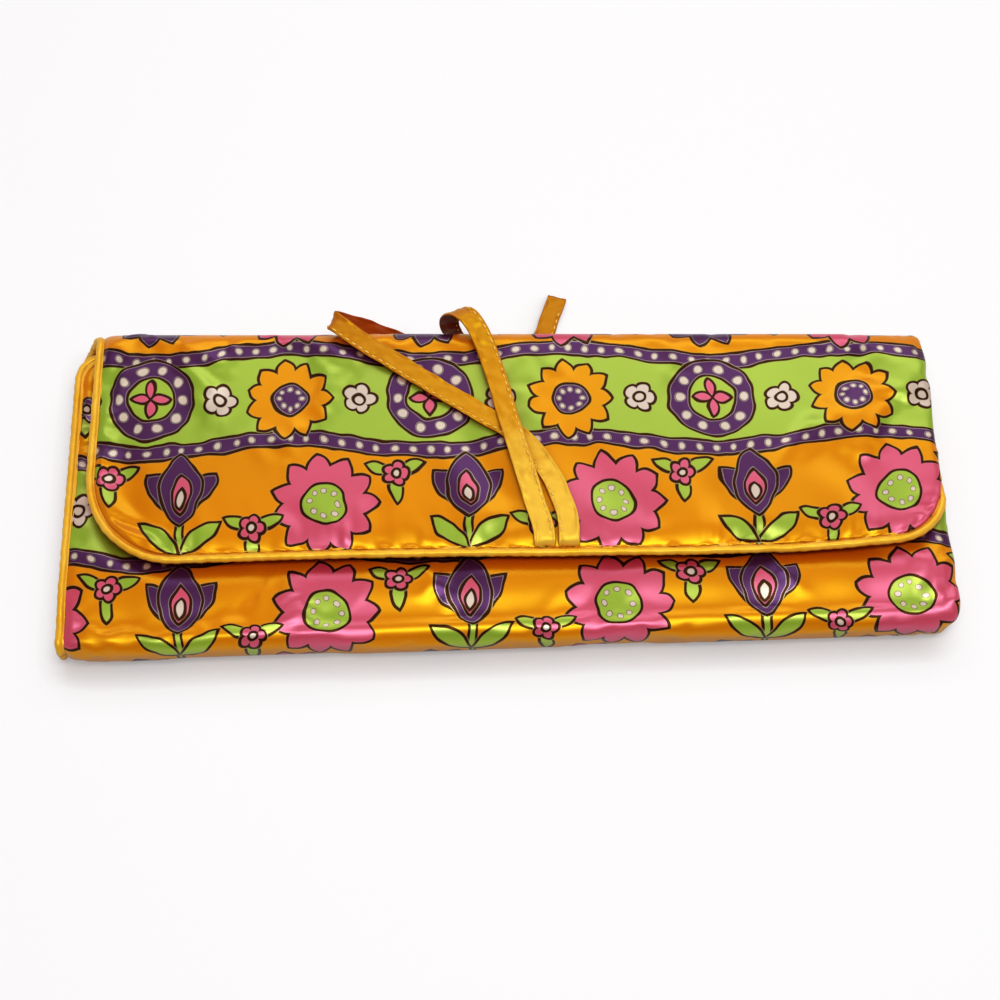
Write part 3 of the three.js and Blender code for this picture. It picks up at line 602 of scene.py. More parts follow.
def printGroup():
    # a generic print of daisies, tulips and dotted roundels between wavy ribbons
    tree, given, wanted = newGroup("flowerPrint", {"Flat": "Vector"}, {"Color": "Color"})
    leafTree, petalTree, inkTree = leafGroup(), petalGroup(), inkGroup()
    inks = {name: toLinear(code) for name, code in printInks.items()}
    cell, repeat, fine = flower["cell"], flower["repeat"], flower["halfFineLine"]

    def shifted(point, x, y):
        return addNode(tree, "VectorMath", [point, (-x, -y, 0.0)], operation="ADD")

    def leaf(point, degrees, start, length, width):
        half, wide = length / 2, width / 2
        radius = (half ** 2 + wide ** 2) / (2 * wide)
        return addNode(tree, "Group", {
            "Point": point, "Angle": math.radians(-degrees), "Middle": start + half,
            "Bow": radius - wide, "Radius": radius}, node_tree=leafTree)

    def disc(point, radius):
        reach = addNode(tree, "VectorMath", [point], out=1, operation="LENGTH")
        return addNode(tree, "Math", [reach, radius], operation="SUBTRACT")

    def folded(point, petals):
        return addNode(tree, "Group", {"Point": point, "Half Angle": math.pi / petals}, node_tree=petalTree)

    def inked(under, distance, ink, halfLine=flower["halfLine"]):
        return addNode(tree, "Group", {
            "Under": under, "Distance": distance, "Fill": inks[ink], "Half Line": halfLine},
            node_tree=inkTree)

    def daisy(under, point, size, petalInk, heartInk):
        petals = flower["daisyPetals"]
        petal = leaf(folded(point, petals), 0, size * 0.22, size * 0.82, size * 0.5)
        under = inked(under, petal, petalInk)
        under = inked(under, disc(point, size * 0.42), heartInk)
        dots = disc(shifted(folded(point, 8), size * 0.26, 0), size * 0.055)
        return inked(under, dots, "white", fine)

    def blossom(under, point, size, petalInk):
        petal = disc(shifted(folded(point, flower["blossomPetals"]), size * 0.55, 0), size * 0.42)
        under = inked(under, petal, petalInk)
        return inked(under, disc(point, size * 0.32), "white")

    def tulip(under, point, size, petalInk, heartInk):
        stem = leaf(point, -90, -size * 0.2, size * 1.5, size * 0.16)
        under = inked(under, stem, "green")
        foot = shifted(point, 0, -size * 0.95)
        for degrees in (38, 142):
            under = inked(under, leaf(foot, degrees, 0, size, size * 0.36), "green")
        sides = [leaf(point, degrees, -size * 0.2, size * 1.2, size * 0.56) for degrees in (46, 134)]
        under = inked(under, addNode(tree, "Math", sides, operation="MINIMUM"), petalInk)
        under = inked(under, leaf(point, 90, -size * 0.35, size * 1.45, size * 0.86), petalInk)
        under = inked(under, leaf(point, 90, -size * 0.12, size * 0.8, size * 0.4), heartInk)
        return inked(under, leaf(point, 90, -size * 0.02, size * 0.4, size * 0.2), "white")

    def sprig(under, point, size, petalInk):
        # three leaves with a small blossom where they meet
        for degrees in (22, 158, -90):
            under = inked(under, leaf(point, degrees, size * 0.1, size * 1.05, size * 0.46), "green")
        return blossom(under, point, size * 0.5, petalInk)

    def roundel(under, point, size, outerInk, innerInk):
        under = inked(under, disc(point, size), outerInk)
        dots = disc(shifted(folded(point, 10), size * 0.76, 0), size * 0.11)
        under = inked(under, dots, "white", fine)
        under = inked(under, disc(point, size * 0.54), innerInk)
        return inked(under, leaf(folded(point, 4), 0, 0.0, size * 0.46, size * 0.24), "pink")

    # the hand-drawn line wanders by a few tenths of a millimetre
    wobble = addNode(tree, "TexNoise", {"Vector": given["Flat"], "Scale": 0.12, "Detail": 1.0}, out=1)
    wobble = addNode(tree, "VectorMath", [wobble, (0.5, 0.5, 0.5)], operation="SUBTRACT")
    wobble = addNode(tree, "VectorMath", {0: wobble, "Scale": 3.0}, operation="SCALE")
    flat = addNode(tree, "VectorMath", [given["Flat"], wobble], operation="ADD")
    split = addNode(tree, "SeparateXYZ", [flat]).node
    u, v = split.outputs[0], split.outputs[1]

    def cellPoint(shiftX, middleV):
        # the point seen from the middle of its cell in a row, and which of every two cells it is in
        moved = addNode(tree, "Math", [u, shiftX], operation="ADD")
        column = addNode(tree, "Math", [moved, cell], operation="DIVIDE")
        column = addNode(tree, "Math", [column], operation="ROUND")
        near = addNode(tree, "Math", [column, -cell, moved], operation="MULTIPLY_ADD")
        lifted = addNode(tree, "Math", [v, -middleV], operation="ADD")
        high = addNode(tree, "Math", [lifted, repeat / 2, -repeat / 2], operation="WRAP")
        odd = addNode(tree, "Math", [column, 2.0], operation="FLOORED_MODULO")
        return addNode(tree, "CombineXYZ", [near, high]), odd

    def either(odd, first, second):
        return addNode(tree, "Mix", {0: odd, 6: first, 7: second}, out=2, data_type="RGBA")

    colour = addNode(tree, "RGB")
    colour.default_value = inks["ground"]

    # wavy green ribbon edged with a dotted purple braid, with roundels and daisies on it
    bow = addNode(tree, "Math", [u, math.pi / cell], operation="MULTIPLY")
    bow = addNode(tree, "Math", [bow], operation="SINE")
    high = addNode(tree, "Math", [bow, -flower["ribbonWave"], v], operation="MULTIPLY_ADD")
    high = addNode(tree, "Math", [high, -flower["ribbonAt"]], operation="ADD")
    high = addNode(tree, "Math", [high, repeat / 2, -repeat / 2], operation="WRAP")
    high = addNode(tree, "Math", [high], operation="ABSOLUTE")
    fromEdge = addNode(tree, "Math", [high, flower["ribbonHalf"]], operation="SUBTRACT")
    colour = inked(colour, fromEdge, "green")
    braid = addNode(tree, "Math", [fromEdge], operation="ABSOLUTE")
    braid = addNode(tree, "Math", [braid, flower["braidHalf"]], operation="SUBTRACT")
    colour = inked(colour, braid, "purple")
    beadCell = cell / 8
    beadAt = addNode(tree, "Math", [u, beadCell / 2, -beadCell / 2], operation="WRAP")
    bead = disc(addNode(tree, "CombineXYZ", [beadAt, fromEdge]), 0.95)
    colour = inked(colour, bead, "white", fine)
    point, odd = cellPoint(cell / 2, flower["ribbonAt"])
    first = roundel(colour, point, 12.6, "purple", "green")
    second = daisy(colour, point, 12.2, "ground", "purple")
    colour = either(odd, first, second)
    point, odd = cellPoint(0, flower["ribbonAt"])
    colour = blossom(colour, point, 5.0, "white")

    # lower row of tulips and daisies on the orange ground
    point, odd = cellPoint(cell / 4, flower["lowerRow"])
    first = tulip(colour, point, 14.2, "purple", "pink")
    second = daisy(colour, point, 15.0, "pink", "green")
    colour = either(odd, first, second)
    point, odd = cellPoint(cell * 0.75, flower["lowerRow"])
    first = sprig(colour, shifted(point, 0, 9.0), 8.0, "pink")
    second = sprig(colour, shifted(point, 0, -7.0), 8.0, "pink")
    colour = either(odd, first, second)

    # upper row with the colours changed about
    point, odd = cellPoint(cell / 2, flower["upperRow"])
    first = daisy(colour, point, 14.0, "purple", "green")
    second = daisy(colour, point, 14.0, "pink", "green")
    colour = either(odd, first, second)
    point, odd = cellPoint(0, flower["upperRow"])
    colour = sprig(colour, point, 8.0, "purple")
    tree.links.new(colour, wanted["Color"])
    return tree


def satinWeave(tree, place, strength):
    # floats of the warp, drawn at 0.35 mm because real threads of 0.1 mm don't show from here
    stretched = addNode(tree, "VectorMath", [place, (1.0, 0.18, 1.0)], operation="MULTIPLY")
    floats = addNode(tree, "TexNoise", {
        "Vector": stretched, "Scale": 1 / 0.35, "Detail": 2.0, "Roughness": 0.6})
    return addNode(tree, "Bump", {"Height": floats, "Strength": strength, "Distance": 0.05 * mm})


satin = {
    "roughness": 0.37,        # matte floats: the sheen spreads over some 20 degrees
    "anisotropic": 0.3,       # a little more so across the cloth than along it
    "ior": 1.9,               # calendered polyester reflects more than a bare fibre does
    "level": 1.0,
    "shade": "#C23A00",       # painted shade: hollows are made redder, standing for light that bounces from dye to dye there
    "paintedShadeShare": 0.75,
    "paintedShadeReach": 11.0,       # mm
}


def sheenOf(tree, colour):
    # the sheen's colour goes by the ink's hue, and pale ink has a pale sheen
    split = addNode(tree, "SeparateColor", [colour], mode="HSV").node
    ramp = addNode(tree, "ValToRGB", [split.outputs[0]])
    stops = ramp.node.color_ramp.elements
    hues = sorted((rgb_to_hsv(*toLinear(printInks[ink])[:3])[0], ink) for ink in sheens if ink != "white")
    while len(stops) < len(hues):
        stops.new(0.5)
    for stop, (hue, ink) in zip(stops, hues):
        stop.position = hue
        stop.color = toLinear(sheens[ink])
    pale = addNode(tree, "MapRange", [split.outputs[1], 0.7, 0.45, 0.0, 1.0])
    return addNode(tree, "Mix", {0: pale, 6: ramp, 7: toLinear(sheens["white"])}, out=2, data_type="RGBA")


def satinShader(tree, colour, roughness, normal, tangent=None):
    # a coloured sheen over the dye, and a painted shade: a deeper, redder colour in hollows and under the
    # ties
    # painted shade: ambient occlusion mixes the deeper colour in beside the flap's edge, in creases and
    # under the ties
    hollow = addNode(tree, "AmbientOcclusion", {"Distance": satin["paintedShadeReach"] * mm}, out=1)
    hollow = addNode(tree, "MapRange", [hollow, 0.4, 0.97, satin["paintedShadeShare"], 0.0])
    deep = addNode(tree, "Mix", {0: 1.0, 6: colour, 7: toLinear(satin["shade"])}, out=2, data_type="RGBA",
                   blend_type="MULTIPLY")
    sheen = sheenOf(tree, colour)
    colour = addNode(tree, "Mix", {0: hollow, 6: colour, 7: deep}, out=2, data_type="RGBA")
    grain = {"Anisotropic": satin["anisotropic"], "Tangent": tangent} if tangent else {}
    return addNode(tree, "BsdfPrincipled", {
        "Base Color": colour,
        "Roughness": roughness,
        "IOR": satin["ior"],
        "Specular IOR Level": satin["level"],
        "Specular Tint": sheen,
        "Normal": normal,
        **grain,
    })


def printedSatin():
    material, tree = newMaterial("printed_polyester_satin")
    flat = placeInMm(tree, "flatCloth")
    colour = addNode(tree, "Group", {"Flat": flat}, node_tree=printGroup())
    worn = addNode(tree, "TexNoise", {"Vector": flat, "Scale": 0.03, "Detail": 3.0})
    worn = addNode(tree, "MapRange", [worn, 0.3, 0.7, 0.9, 1.06])
    colour = addNode(tree, "Mix", {0: 1.0, 6: colour, 7: worn}, out=2, data_type="RGBA",
                     blend_type="MULTIPLY")
    tangent = addNode(tree, "Tangent", direction_type="UV_MAP", uv_map="flatCloth")
    weave = satinWeave(tree, flat, 0.25)
    finishMaterial(tree, satinShader(tree, colour, satin["roughness"], weave, tangent))
    return material


def plainSatin(name, light, deep, roughness):
    # dyed polyester satin in one colour, with a painted highlight tone (light) and a painted shade tone
    # (deep) mixed by a random mottle, not by the bends and folds
    material, tree = newMaterial(name)
    place = placeInMm(tree)
    mottle = addNode(tree, "TexNoise", {"Vector": place, "Scale": 0.12, "Detail": 4.0})
    mottle = addNode(tree, "MapRange", [mottle, 0.35, 0.68, 0.0, 1.0])
    colour = addNode(tree, "Mix", {0: mottle, 6: toLinear(light), 7: toLinear(deep)}, out=2,
                     data_type="RGBA")
    finishMaterial(tree, satinShader(tree, colour, roughness, satinWeave(tree, place, 0.35)))
    return material


printedMaterial = printedSatin()
# cut on the bias the cloth looks paler, as its threads turn with the cord; the twisted thread's glints are
# painted into its lighter tone
pipingMaterial = plainSatin("bias_cut_satin_piping", "#F4B23A", "#E6981C", 0.42)
liningMaterial = plainSatin("lining_satin", "#E38C0E", "#D67C06", 0.45)
threadMaterial = plainSatin("polyester_thread", "#FFD470", "#F5BE48", 0.5)
print("satins and thread made")


# The ties: flat satin tape with folded edges, sewn along one of them. Each row of a route is a point
# on the middle of the tape and the way its upper face looks there.
ties = {
    "width": 6.0,
    "thickness": 0.8,
    "step": 0.7,              # between two stations of the tape's mesh
    "stitchLength": 1.5,
    "stitchGap": 0.9,
    "stitchFromMiddle": 2.2,  # the seam that closes the tape runs near one edge
    "stitchWidth": 0.5,
    "paintedLitGold": "#EAAC38",      # painted highlight at the seam, then painted shade from there on in this order along the tape
    "deep": "#C2640A",
    "deepBy": (20.0, 46.0),   # mm along the tape, where that colour begins and where it is full
    "paintedShadeBurnt": "#AE4E08",
    "burntBy": (50.0, 105.0),
    # painted shade on the tape's under face
    "paintedShadeBeneath": "#9C3404",
    "unevenness": 11.0,       # the colours change this far sooner or later in places, mm
}


def tieSatin():
    # narrow satin tape with painted light and shade: a golden painted highlight and crinkle where it leaves
    # the seam, a deeper orange painted shade after the bend, and a burnt orange painted shade underneath,
    # where only light off the dye reaches it
    material, tree = newMaterial("satin_tape_tie")
    run = placeInMm(tree, "tapeRun")
    aside = addNode(tree, "SeparateXYZ", [run], out=0)
    mottle = addNode(tree, "TexNoise", {"Vector": run, "Scale": 0.16, "Detail": 4.0, "Roughness": 0.65})
    moved = addNode(tree, "MapRange", [mottle, 0.3, 0.7, -ties["unevenness"], ties["unevenness"]])
    moved = addNode(tree, "Math", [aside.node.outputs[1], moved], operation="ADD")
    # the painted shade deepens along the tape, away from the painted highlight at the seam
    deep = addNode(tree, "MapRange", [moved, *ties["deepBy"], 0.0, 1.0])
    paintedShadeBurnt = addNode(tree, "MapRange", [moved, *ties["burntBy"], 0.0, 1.0])
    paintedShadeBeneath = addNode(tree, "Math", [aside, ties["width"]], operation="GREATER_THAN")
    colour = toLinear(ties["paintedLitGold"])
    for share, name in ((deep, "deep"), (paintedShadeBurnt, "paintedShadeBurnt"), (paintedShadeBeneath, "paintedShadeBeneath")):
        colour = addNode(tree, "Mix", {0: share, 6: colour, 7: toLinear(ties[name])}, out=2,
                         data_type="RGBA")
    crinkle = addNode(tree, "MapRange", [deep, 0.0, 1.0, 0.55, 0.3])
    finishMaterial(tree, satinShader(tree, colour, 0.45, satinWeave(tree, run, crinkle)))
    return material


tieMaterial = tieSatin()

# where each tape comes up out of the flap's seam, before the rows of its route
tieRoots = {
    "tie_left": [[10.9, -23.4, 17.2, 0, -0.95, 0.3], [10.85, -23.1, 18.3, 0, -0.85, 0.5]],
    "tie_right": [[17.8, -23.6, 17.2, 0, -0.95, 0.3], [17.8, -23.3, 18.3, 0, -0.85, 0.5]],
}
tieLeftRoute = [
    [10.8, -22.3, 19.0, 0, -0.4, 0.9],
    [10.5, -18.6, 19.6, 0, 0, 1],
    [8.4, -9.2, 19.9, 0, 0, 1],
    [6, 0, 20.8, 0, 0, 1],
    [4.2, 7.1, 21.1, 0, 0, 1],
    [1.8, 17, 21.1, 0, 0, 1],
    [-0.6, 28, 21, 0, 0, 1],
    [-3.4, 39, 21.4, 0, 0, 1],
    [-6.2, 46, 22.7, -0.1, 0, 1],
    [-9.4, 50.6, 23.5, -0.3, 0.4, 0.85],
    [-12.8, 53, 21.7, -0.4, 0.8, 0.4],
    [-14.6, 53.7, 16.8, -0.2, 1, 0],
    [-14.4, 53.8, 11, 0, 1, 0],
    [-12, 53.8, 5.6, 0, 0.85, 0.5],
    [-7.2, 53.8, 2, 0, 0.4, 0.9],
    [-1.2, 53.9, 0.7, 0, 0.1, 1],
    [4.2, 54, 0.55, 0, 0, 1],
    [9.2, 54.1, 0.55, 0, 0, 1],
    [12.9, 55, 0.55, 0, 0, 1],
    [14.9, 58, 0.55, 0, 0, 1],
    [16.3, 62.1, 0.55, 0, 0, 1],
    [17.7, 66.2, 0.55, 0, 0, 1],
    [19.1, 70.4, 0.55, 0, 0, 1],
]
tieRightRoute = [
    [17.8, -22.5, 19.0, 0, -0.4, 0.9],
    [17.7, -18.8, 19.6, 0, 0, 1],
    [16.4, -10, 19.7, 0, 0, 1],
    [13.2, -1.4, 19.7, 0, 0, 1],
    [8.4, 6.9, 19.7, 0, 0, 1],
    [1.6, 13.8, 19.7, 0, 0, 1],
    [-7, 19.8, 19.7, 0, 0, 1],
    [-17.8, 27.6, 19.8, 0, 0, 1],
    [-29.5, 36.2, 20.2, 0, 0, 1],
    [-39.6, 43.2, 21, 0, 0, 1],
    [-45.6, 47.8, 22, -0.1, 0, 1],
    [-48.8, 50.4, 22, -0.6, 0.5, 0.6],
    [-49.4, 51.9, 20.4, -0.7, 0.6, -0.4],
    [-47, 53, 18, -0.2, 0.5, -0.9],
    [-42.4, 53.7, 14, -0.4, 0.3, -0.85],
    [-37, 54, 9.8, -0.6, 0.2, -0.8],
    [-32, 54.1, 5.8, -0.6, 0.1, -0.8],
    [-27.4, 54.1, 2.6, -0.5, 0, -0.9],
    [-23, 54.2, 0.9, -0.2, 0, -1],
    [-19.2, 54.2, 0.55, 0, 0, -1],
]


def smoothLine(points, perRow):
    # centripetal curve through the points, with a number of steps for each row
    points = np.asarray(points, float)
    rows = np.vstack([2 * points[0] - points[1], points, 2 * points[-1] - points[-2]])
    found = []
    for i in range(1, len(rows) - 2):
        p0, p1, p2, p3 = rows[i - 1:i + 3]
        t0, t1, t2 = (max(np.linalg.norm(b - a), 1e-4) ** 0.5 for a, b in ((p0, p1), (p1, p2), (p2, p3)))
        m1 = ((p1 - p0) / t0 - (p2 - p0) / (t0 + t1) + (p2 - p1) / t1) * t1
        m2 = ((p2 - p1) / t1 - (p3 - p1) / (t1 + t2) + (p3 - p2) / t2) * t1
        square = 3 * (p2 - p1) - 2 * m1 - m2
        cube = 2 * (p1 - p2) + m1 + m2
        for w in np.arange(perRow) / perRow:
            found.append(p1 + m1 * w + square * w ** 2 + cube * w ** 3)
    found.append(rows[-2])
    return np.array(found)


def unit(vectors):
    return vectors / np.maximum(np.linalg.norm(vectors, axis=-1, keepdims=True), 1e-9)


def lengthAlong(points):
    return np.concatenate([[0], np.cumsum(np.linalg.norm(np.diff(points, axis=0), axis=1))])


def between(places, along, values):
    # the values that go with some places along a line
    return np.stack([np.interp(places, along, column) for column in np.asarray(values).T], 1)


def evenly(points, others, step):
    # the line at even steps, with the values that go with its points
    along = lengthAlong(points)
    places = np.linspace(0, along[-1], max(2, round(along[-1] / step)) + 1)
    return between(places, along, points), between(places, along, others), places


def tubeFaces(rings, sides, closed=False):
    # faces between rings of points: a tube with two ends, or one that closes on itself
    faces = []
    for ring in range(rings if closed else rings - 1):
        after = (ring + 1) % rings
        for j in range(sides):
            k = (j + 1) % sides
            faces.append((ring * sides + j, ring * sides + k, after * sides + k, after * sides + j))
    if not closed:
        faces.append(tuple(reversed(range(sides))))
        faces.append(tuple(range((rings - 1) * sides, rings * sides)))
    return faces


def sweep(centres, first, second, section):
    # a closed tube: each section point is a pair of distances along two directions at every station
    rings = centres[:, None] + section[..., 0:1] * first[:, None] + section[..., 1:2] * second[:, None]
    return rings.reshape(-1, 3), tubeFaces(*rings.shape[:2])


def merged(parts):
    points, faces = [], []
    for morePoints, moreFaces in parts:
        first = sum(len(some) for some in points)
        faces += [tuple(int(index) + first for index in face) for face in moreFaces]
        points.append(morePoints)
    return np.concatenate(points), faces


def ovals(radii, sides, flatness):
    # a small oval at each station, for a thread or a bent wire
    turns = 2 * math.pi * np.arange(sides) / sides
    return np.stack([np.cos(turns), flatness * np.sin(turns)], 1)[None] * radii[:, None, None]


def tapeWave(l, a, seed, stitchSide):
    # how far the tape's surface stands off its middle: puckers, a sewn groove and a slight bow
    half = ties["width"] / 2
    pitch = ties["stitchLength"] + ties["stitchGap"]
    sewn = np.exp(-((a - stitchSide * ties["stitchFromMiddle"]) / 0.8) ** 2)
    pucker = 0.14 * ripples(l, 3 * a, 7.0, seed) + 0.07 * ripples(l, 2 * a, 3.2, seed + 4)
    pucker = pucker + 0.11 * sewn * np.cos(2 * math.pi * l / pitch)
    return pucker + 0.1 * ripples(l, 0 * a, 40.0, seed + 1, 8) * (a / half) ** 2


def tapeSection(places, seed, stitchSide):
    # the tape's section at each station, with folded edges
    half, flat = ties["width"] / 2, ties["thickness"] / 2
    across = np.array([-1, -0.985, -0.9, -0.8, -0.72, -0.6, -0.35, 0, 0.35, 0.6, 0.72, 0.8, 0.9, 0.985, 1])
    plump = np.array([0.35, 0.7, 1, 1, 0.72, 0.8, 0.85, 0.85, 0.85, 0.8, 0.72, 1, 1, 0.7, 0.35])
    loop = np.concatenate([across, across[::-1]])
    high = np.concatenate([plump, -plump[::-1]]) * flat * 0.85
    l = places[:, None]
    a = loop[None, :] * half
    wander = 0.12 * ripples(l, 0 * a, 14.0, seed + 2, 12)
    return np.stack([a + wander, high[None, :] + tapeWave(l, a, seed, stitchSide)], -1)


def stitchMesh(centres, across, facing, places, seed, side):
    # thread stitches pressed into both faces of the tape: one small bead a stitch
    beads = []
    pitch = ties["stitchLength"] + ties["stitchGap"]
    aside = side * ties["stitchFromMiddle"]
    lift = ties["thickness"] / 2 * 0.74
    shares = np.linspace(0, 1, 7)
    swell = np.sin(math.pi * shares) ** 0.5
    section = ovals(ties["stitchWidth"] / 2 * (0.3 + 0.7 * swell), 6, 0.7)
    for start in np.arange(pitch * 2, places[-1] - 2 * pitch, pitch):
        for face in (1, -1):
            l = start + shares * ties["stitchLength"] + (0 if face > 0 else pitch / 2)
            middle, a, f = (between(l, places, line) for line in (centres, across, facing))
            high = face * (lift + 0.09 * swell) + tapeWave(l, np.full(7, aside), seed, side)
            beads.append(sweep(middle + a * aside + f * high[:, None], a, f, section))
    return merged(beads)


def addTie(name, rows, seed, stitchSide):
    rows = np.array(tieRoots[name] + rows, float)
    middle = smoothLine(rows[:, :3], 12)
    facing = smoothLine(rows[:, 3:], 12)
    centres, facing, places = evenly(middle, facing, ties["step"])
    tangents = unit(np.gradient(centres, axis=0))
    across = unit(np.cross(facing, tangents))
    upper = np.cross(tangents, across)
    section = tapeSection(places, seed, stitchSide)
    points, faces = sweep(centres, across, upper, section)
    tie = makeObject(name + "_tape", points, faces, [tieMaterial])
    run = np.repeat(places[:, None], section.shape[1], 1)
    aside = section[..., 0].copy()
    # the material paints shade on the under face, which it finds by this shift
    aside[:, aside.shape[1] // 2:] += 3 * ties["width"]     # the material tells the under face by this
    giveFlatPlaces(tie, aside, run, "tapeRun")
    beads, beadFaces = stitchMesh(centres, across, upper, places, seed, stitchSide)
    stitches = makeObject(name + "_stitches", beads, beadFaces, [threadMaterial])
    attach(tie, name)
    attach(stitches, name)
    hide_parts(name)
    print(name, "is", round(float(places[-1]), 1), "mm long")


addTie("tie_left", tieLeftRoute, 3, -1)
addTie("tie_right", tieRightRoute, 8, 1)


# The padded cloth. It is simulated as one sheet round the whole roll, sewn down along its edges,
# a little longer than its seams and pushed out by the wadding, and then cut at the folds.
cloth = {
    "spacing": 2.2,
    "frames": 20,
    "mass": 0.1,
    "tension": 20,
    "compression": 10,
    "shear": 6,
    "bending": 0.2,
    "pressure": 0.6,
    "ease": 0.02,             # how much longer the cloth is than its seams
    "flapRise": 1.3,          # how far the wadding may push each stretch out
    "foldRise": 0.3,
    "frontRise": 1.2,
    "coveredRise": 0.25,      # of the front panel under the flap
    "baseRise": 0.02,
    "flapMargin": 7.0,        # the panel counts as covered from this far before the flap's end
    "inward": 0.45,
    "foldInward": 0.15,
    "sideways": 0.7,
    "nearSag": 1.5,           # the front panel sinks this far where it bends into the near fold
    "nearSagReach": 12.0,     # over this far on the panel's side, and less on the fold's
    "foldSagReach": 8.0,
    "pressed": 1.3,           # the flap's edge presses the front panel down by this much
    "pressedReach": 9.0,
    "pressedUnder": (4.0, 24.0),      # under the flap the panel comes up again between these
}


def riseAllowed(x, s):
    rise = np.full(np.shape(s), cloth["flapRise"])
    rise = np.where((s > ends["flap"]) & (s < starts["base"]), cloth["foldRise"], rise)
    rise = np.where((s >= starts["base"]) & (s <= ends["base"]), cloth["baseRise"], rise)
    rise = np.where(s > ends["base"], cloth["foldRise"], rise)
    y = onPath(s, 1)
    covered = np.clip((y - flapEndY + cloth["flapMargin"]) / 3, 0, 1)
    covered = covered * np.clip((x - roll["flapLeft"] + 4) / 3, 0, 1)
    front = cloth["frontRise"] * (1 - covered) + cloth["coveredRise"] * covered
    return np.where(s > ends["nearTop"], front, rise)


def simulateCloth(x, s):
    start = place(x, s, seamDepth(edgeDistance(x, s)))
    rows, columns = x.shape
    mesh = bpy.data.meshes.new("clothRun")
    points = start + outward(s) * (0.05 * ripples(x, s, 8, 5))[..., None]
    mesh.from_pydata((points.reshape(-1, 3) * mm).tolist(), [], gridFaces(rows, columns).tolist())
    run = bpy.data.objects.new("clothRun", mesh)
    bpy.context.scene.collection.objects.link(run)
    edge = np.zeros((rows, columns), bool)
    edge[0] = edge[-1] = True
    edge[:, 0] = edge[:, -1] = True
    sewn = run.vertex_groups.new(name="sewn")
    sewn.add(np.flatnonzero(edge.ravel()).tolist(), 1.0, "REPLACE")
    modifier = run.modifiers.new("cloth", "CLOTH")
    settings = modifier.settings
    settings.quality = 6
    settings.mass = cloth["mass"]
    settings.tension_stiffness = cloth["tension"]
    settings.compression_stiffness = cloth["compression"]
    settings.shear_stiffness = cloth["shear"]
    settings.bending_stiffness = cloth["bending"]
    settings.use_pressure = True
    settings.uniform_pressure_force = cloth["pressure"]
    settings.vertex_group_mass = "sewn"
    settings.shrink_min = -cloth["ease"]
    settings.effector_weights.gravity = 0
    modifier.collision_settings.use_collision = False
    modifier.point_cache.frame_start = 1
    modifier.point_cache.frame_end = cloth["frames"]
    scene = bpy.context.scene
    for number in range(1, cloth["frames"] + 1):
        scene.frame_set(number)
    settled = run.evaluated_get(bpy.context.evaluated_depsgraph_get()).to_mesh()
    found = np.zeros(rows * columns * 3, np.float32)
    settled.vertices.foreach_get("co", found)
    bpy.data.objects.remove(run)
    bpy.data.meshes.remove(mesh)
    scene.frame_set(1)
    return found.reshape(rows, columns, 3) / mm - start


def limited(push, x, s):
    # the wadding and the neighbours let the cloth move only so far
    away = outward(s)
    rise = (push * away).sum(-1)
    aside = push - away * rise[..., None]
    allowed = riseAllowed(x, s)
    folded = (s > ends["flap"] + 1) & (s < starts["front"] - 1)
    inward = np.where(folded, cloth["foldInward"], cloth["inward"])
    risen = allowed * np.tanh(rise / np.maximum(allowed, 1e-6))
    rise = np.where(rise > 0, risen, inward * np.tanh(rise / inward))
    size = np.linalg.norm(aside, axis=-1, keepdims=True)
    aside = aside / np.maximum(size, 1e-9) * cloth["sideways"] * np.tanh(size / cloth["sideways"])
    return aside + away * rise[..., None]


def refined(values):
    # twice as fine along both ways, by a cubic through the neighbours
    for axis in (0, 1):
        moved = np.moveaxis(values, axis, 0)
        padded = np.concatenate([2 * moved[:1] - moved[1:2], moved, 2 * moved[-1:] - moved[-2:-1]])
        woven = np.empty((2 * len(moved) - 1,) + moved.shape[1:])
        woven[::2] = moved
        woven[1::2] = (-padded[:-3] + 9 * padded[1:-2] + 9 * padded[2:-1] - padded[3:]) / 16
        values = np.moveaxis(woven, 0, axis)
    return values


gridX, gridS = clothGrid(cloth["spacing"])
push = simulateCloth(gridX, gridS)
print("cloth settled, largest move", round(float(np.abs(push).max()), 2), "mm")
push = limited(push, gridX, gridS)
fineX, fineS, finePush = refined(gridX), refined(gridS), refined(push)
fineX[0], fineX[-1] = np.sort(fineX[0]), np.sort(fineX[-1])


def frontSag(s):
    fromFold = s - starts["front"]
    reach = np.where(fromFold > 0, cloth["nearSagReach"], cloth["foldSagReach"])
    return cloth["nearSag"] * np.exp(-3 * (fromFold / reach) ** 2)


def softened(x, s):
    # what the sewing, the folding and the lying about have done to the cloth, as a depth
    onFlap = s < ends["flap"]
    onFront = s > starts["front"]
    fromEnd = np.where(onFlap, s, clothLength - s)
    depth = np.where(onFlap, creaseDepth(x, fromEnd, flapCreases), 0)
    depth = np.where(onFront, creaseDepth(x, fromEnd, frontCreases), depth)
    depth *= np.clip(edgeDistance(x, s) / 2, 0, 1)
    shown = riseAllowed(x, s) / cloth["flapRise"]
    depth = depth - seamGathers(x, s) * np.clip(shown, 0, 1)
    under = edgeDistance(x, onPath(s, 1) - flapEndY)
    pressed = smoothStep(under, -cloth["pressedReach"], 0) * (1 - smoothStep(under, *cloth["pressedUnder"]))
    return depth + frontSag(s) + cloth["pressed"] * pressed * onFront


fineDepth = seamDepth(edgeDistance(fineX, fineS)) + softened(fineX, fineS)
curledX, curledDepth, flatX = curled(fineX, fineS, fineDepth)
coverPoints = place(curledX, fineS, curledDepth) + finePush


pieceRows = {"flap": (-math.inf, farSplit), "base": (farSplit, nearSplit), "front": (nearSplit, math.inf)}


def rowsOf(part, s):
    first, last = pieceRows[part]
    return (s[:, 0] > first - 0.01) & (s[:, 0] < last + 0.01)


def addFolded(name, part, points, faces, material, nodes, slot):
    # one of the three lengths that the hinges cut the cloth and its piping into
    piece = makeObject(f"{part}_{name}", points, faces, [material])
    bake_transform(piece)
    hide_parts(*nodes[part])
    return piece


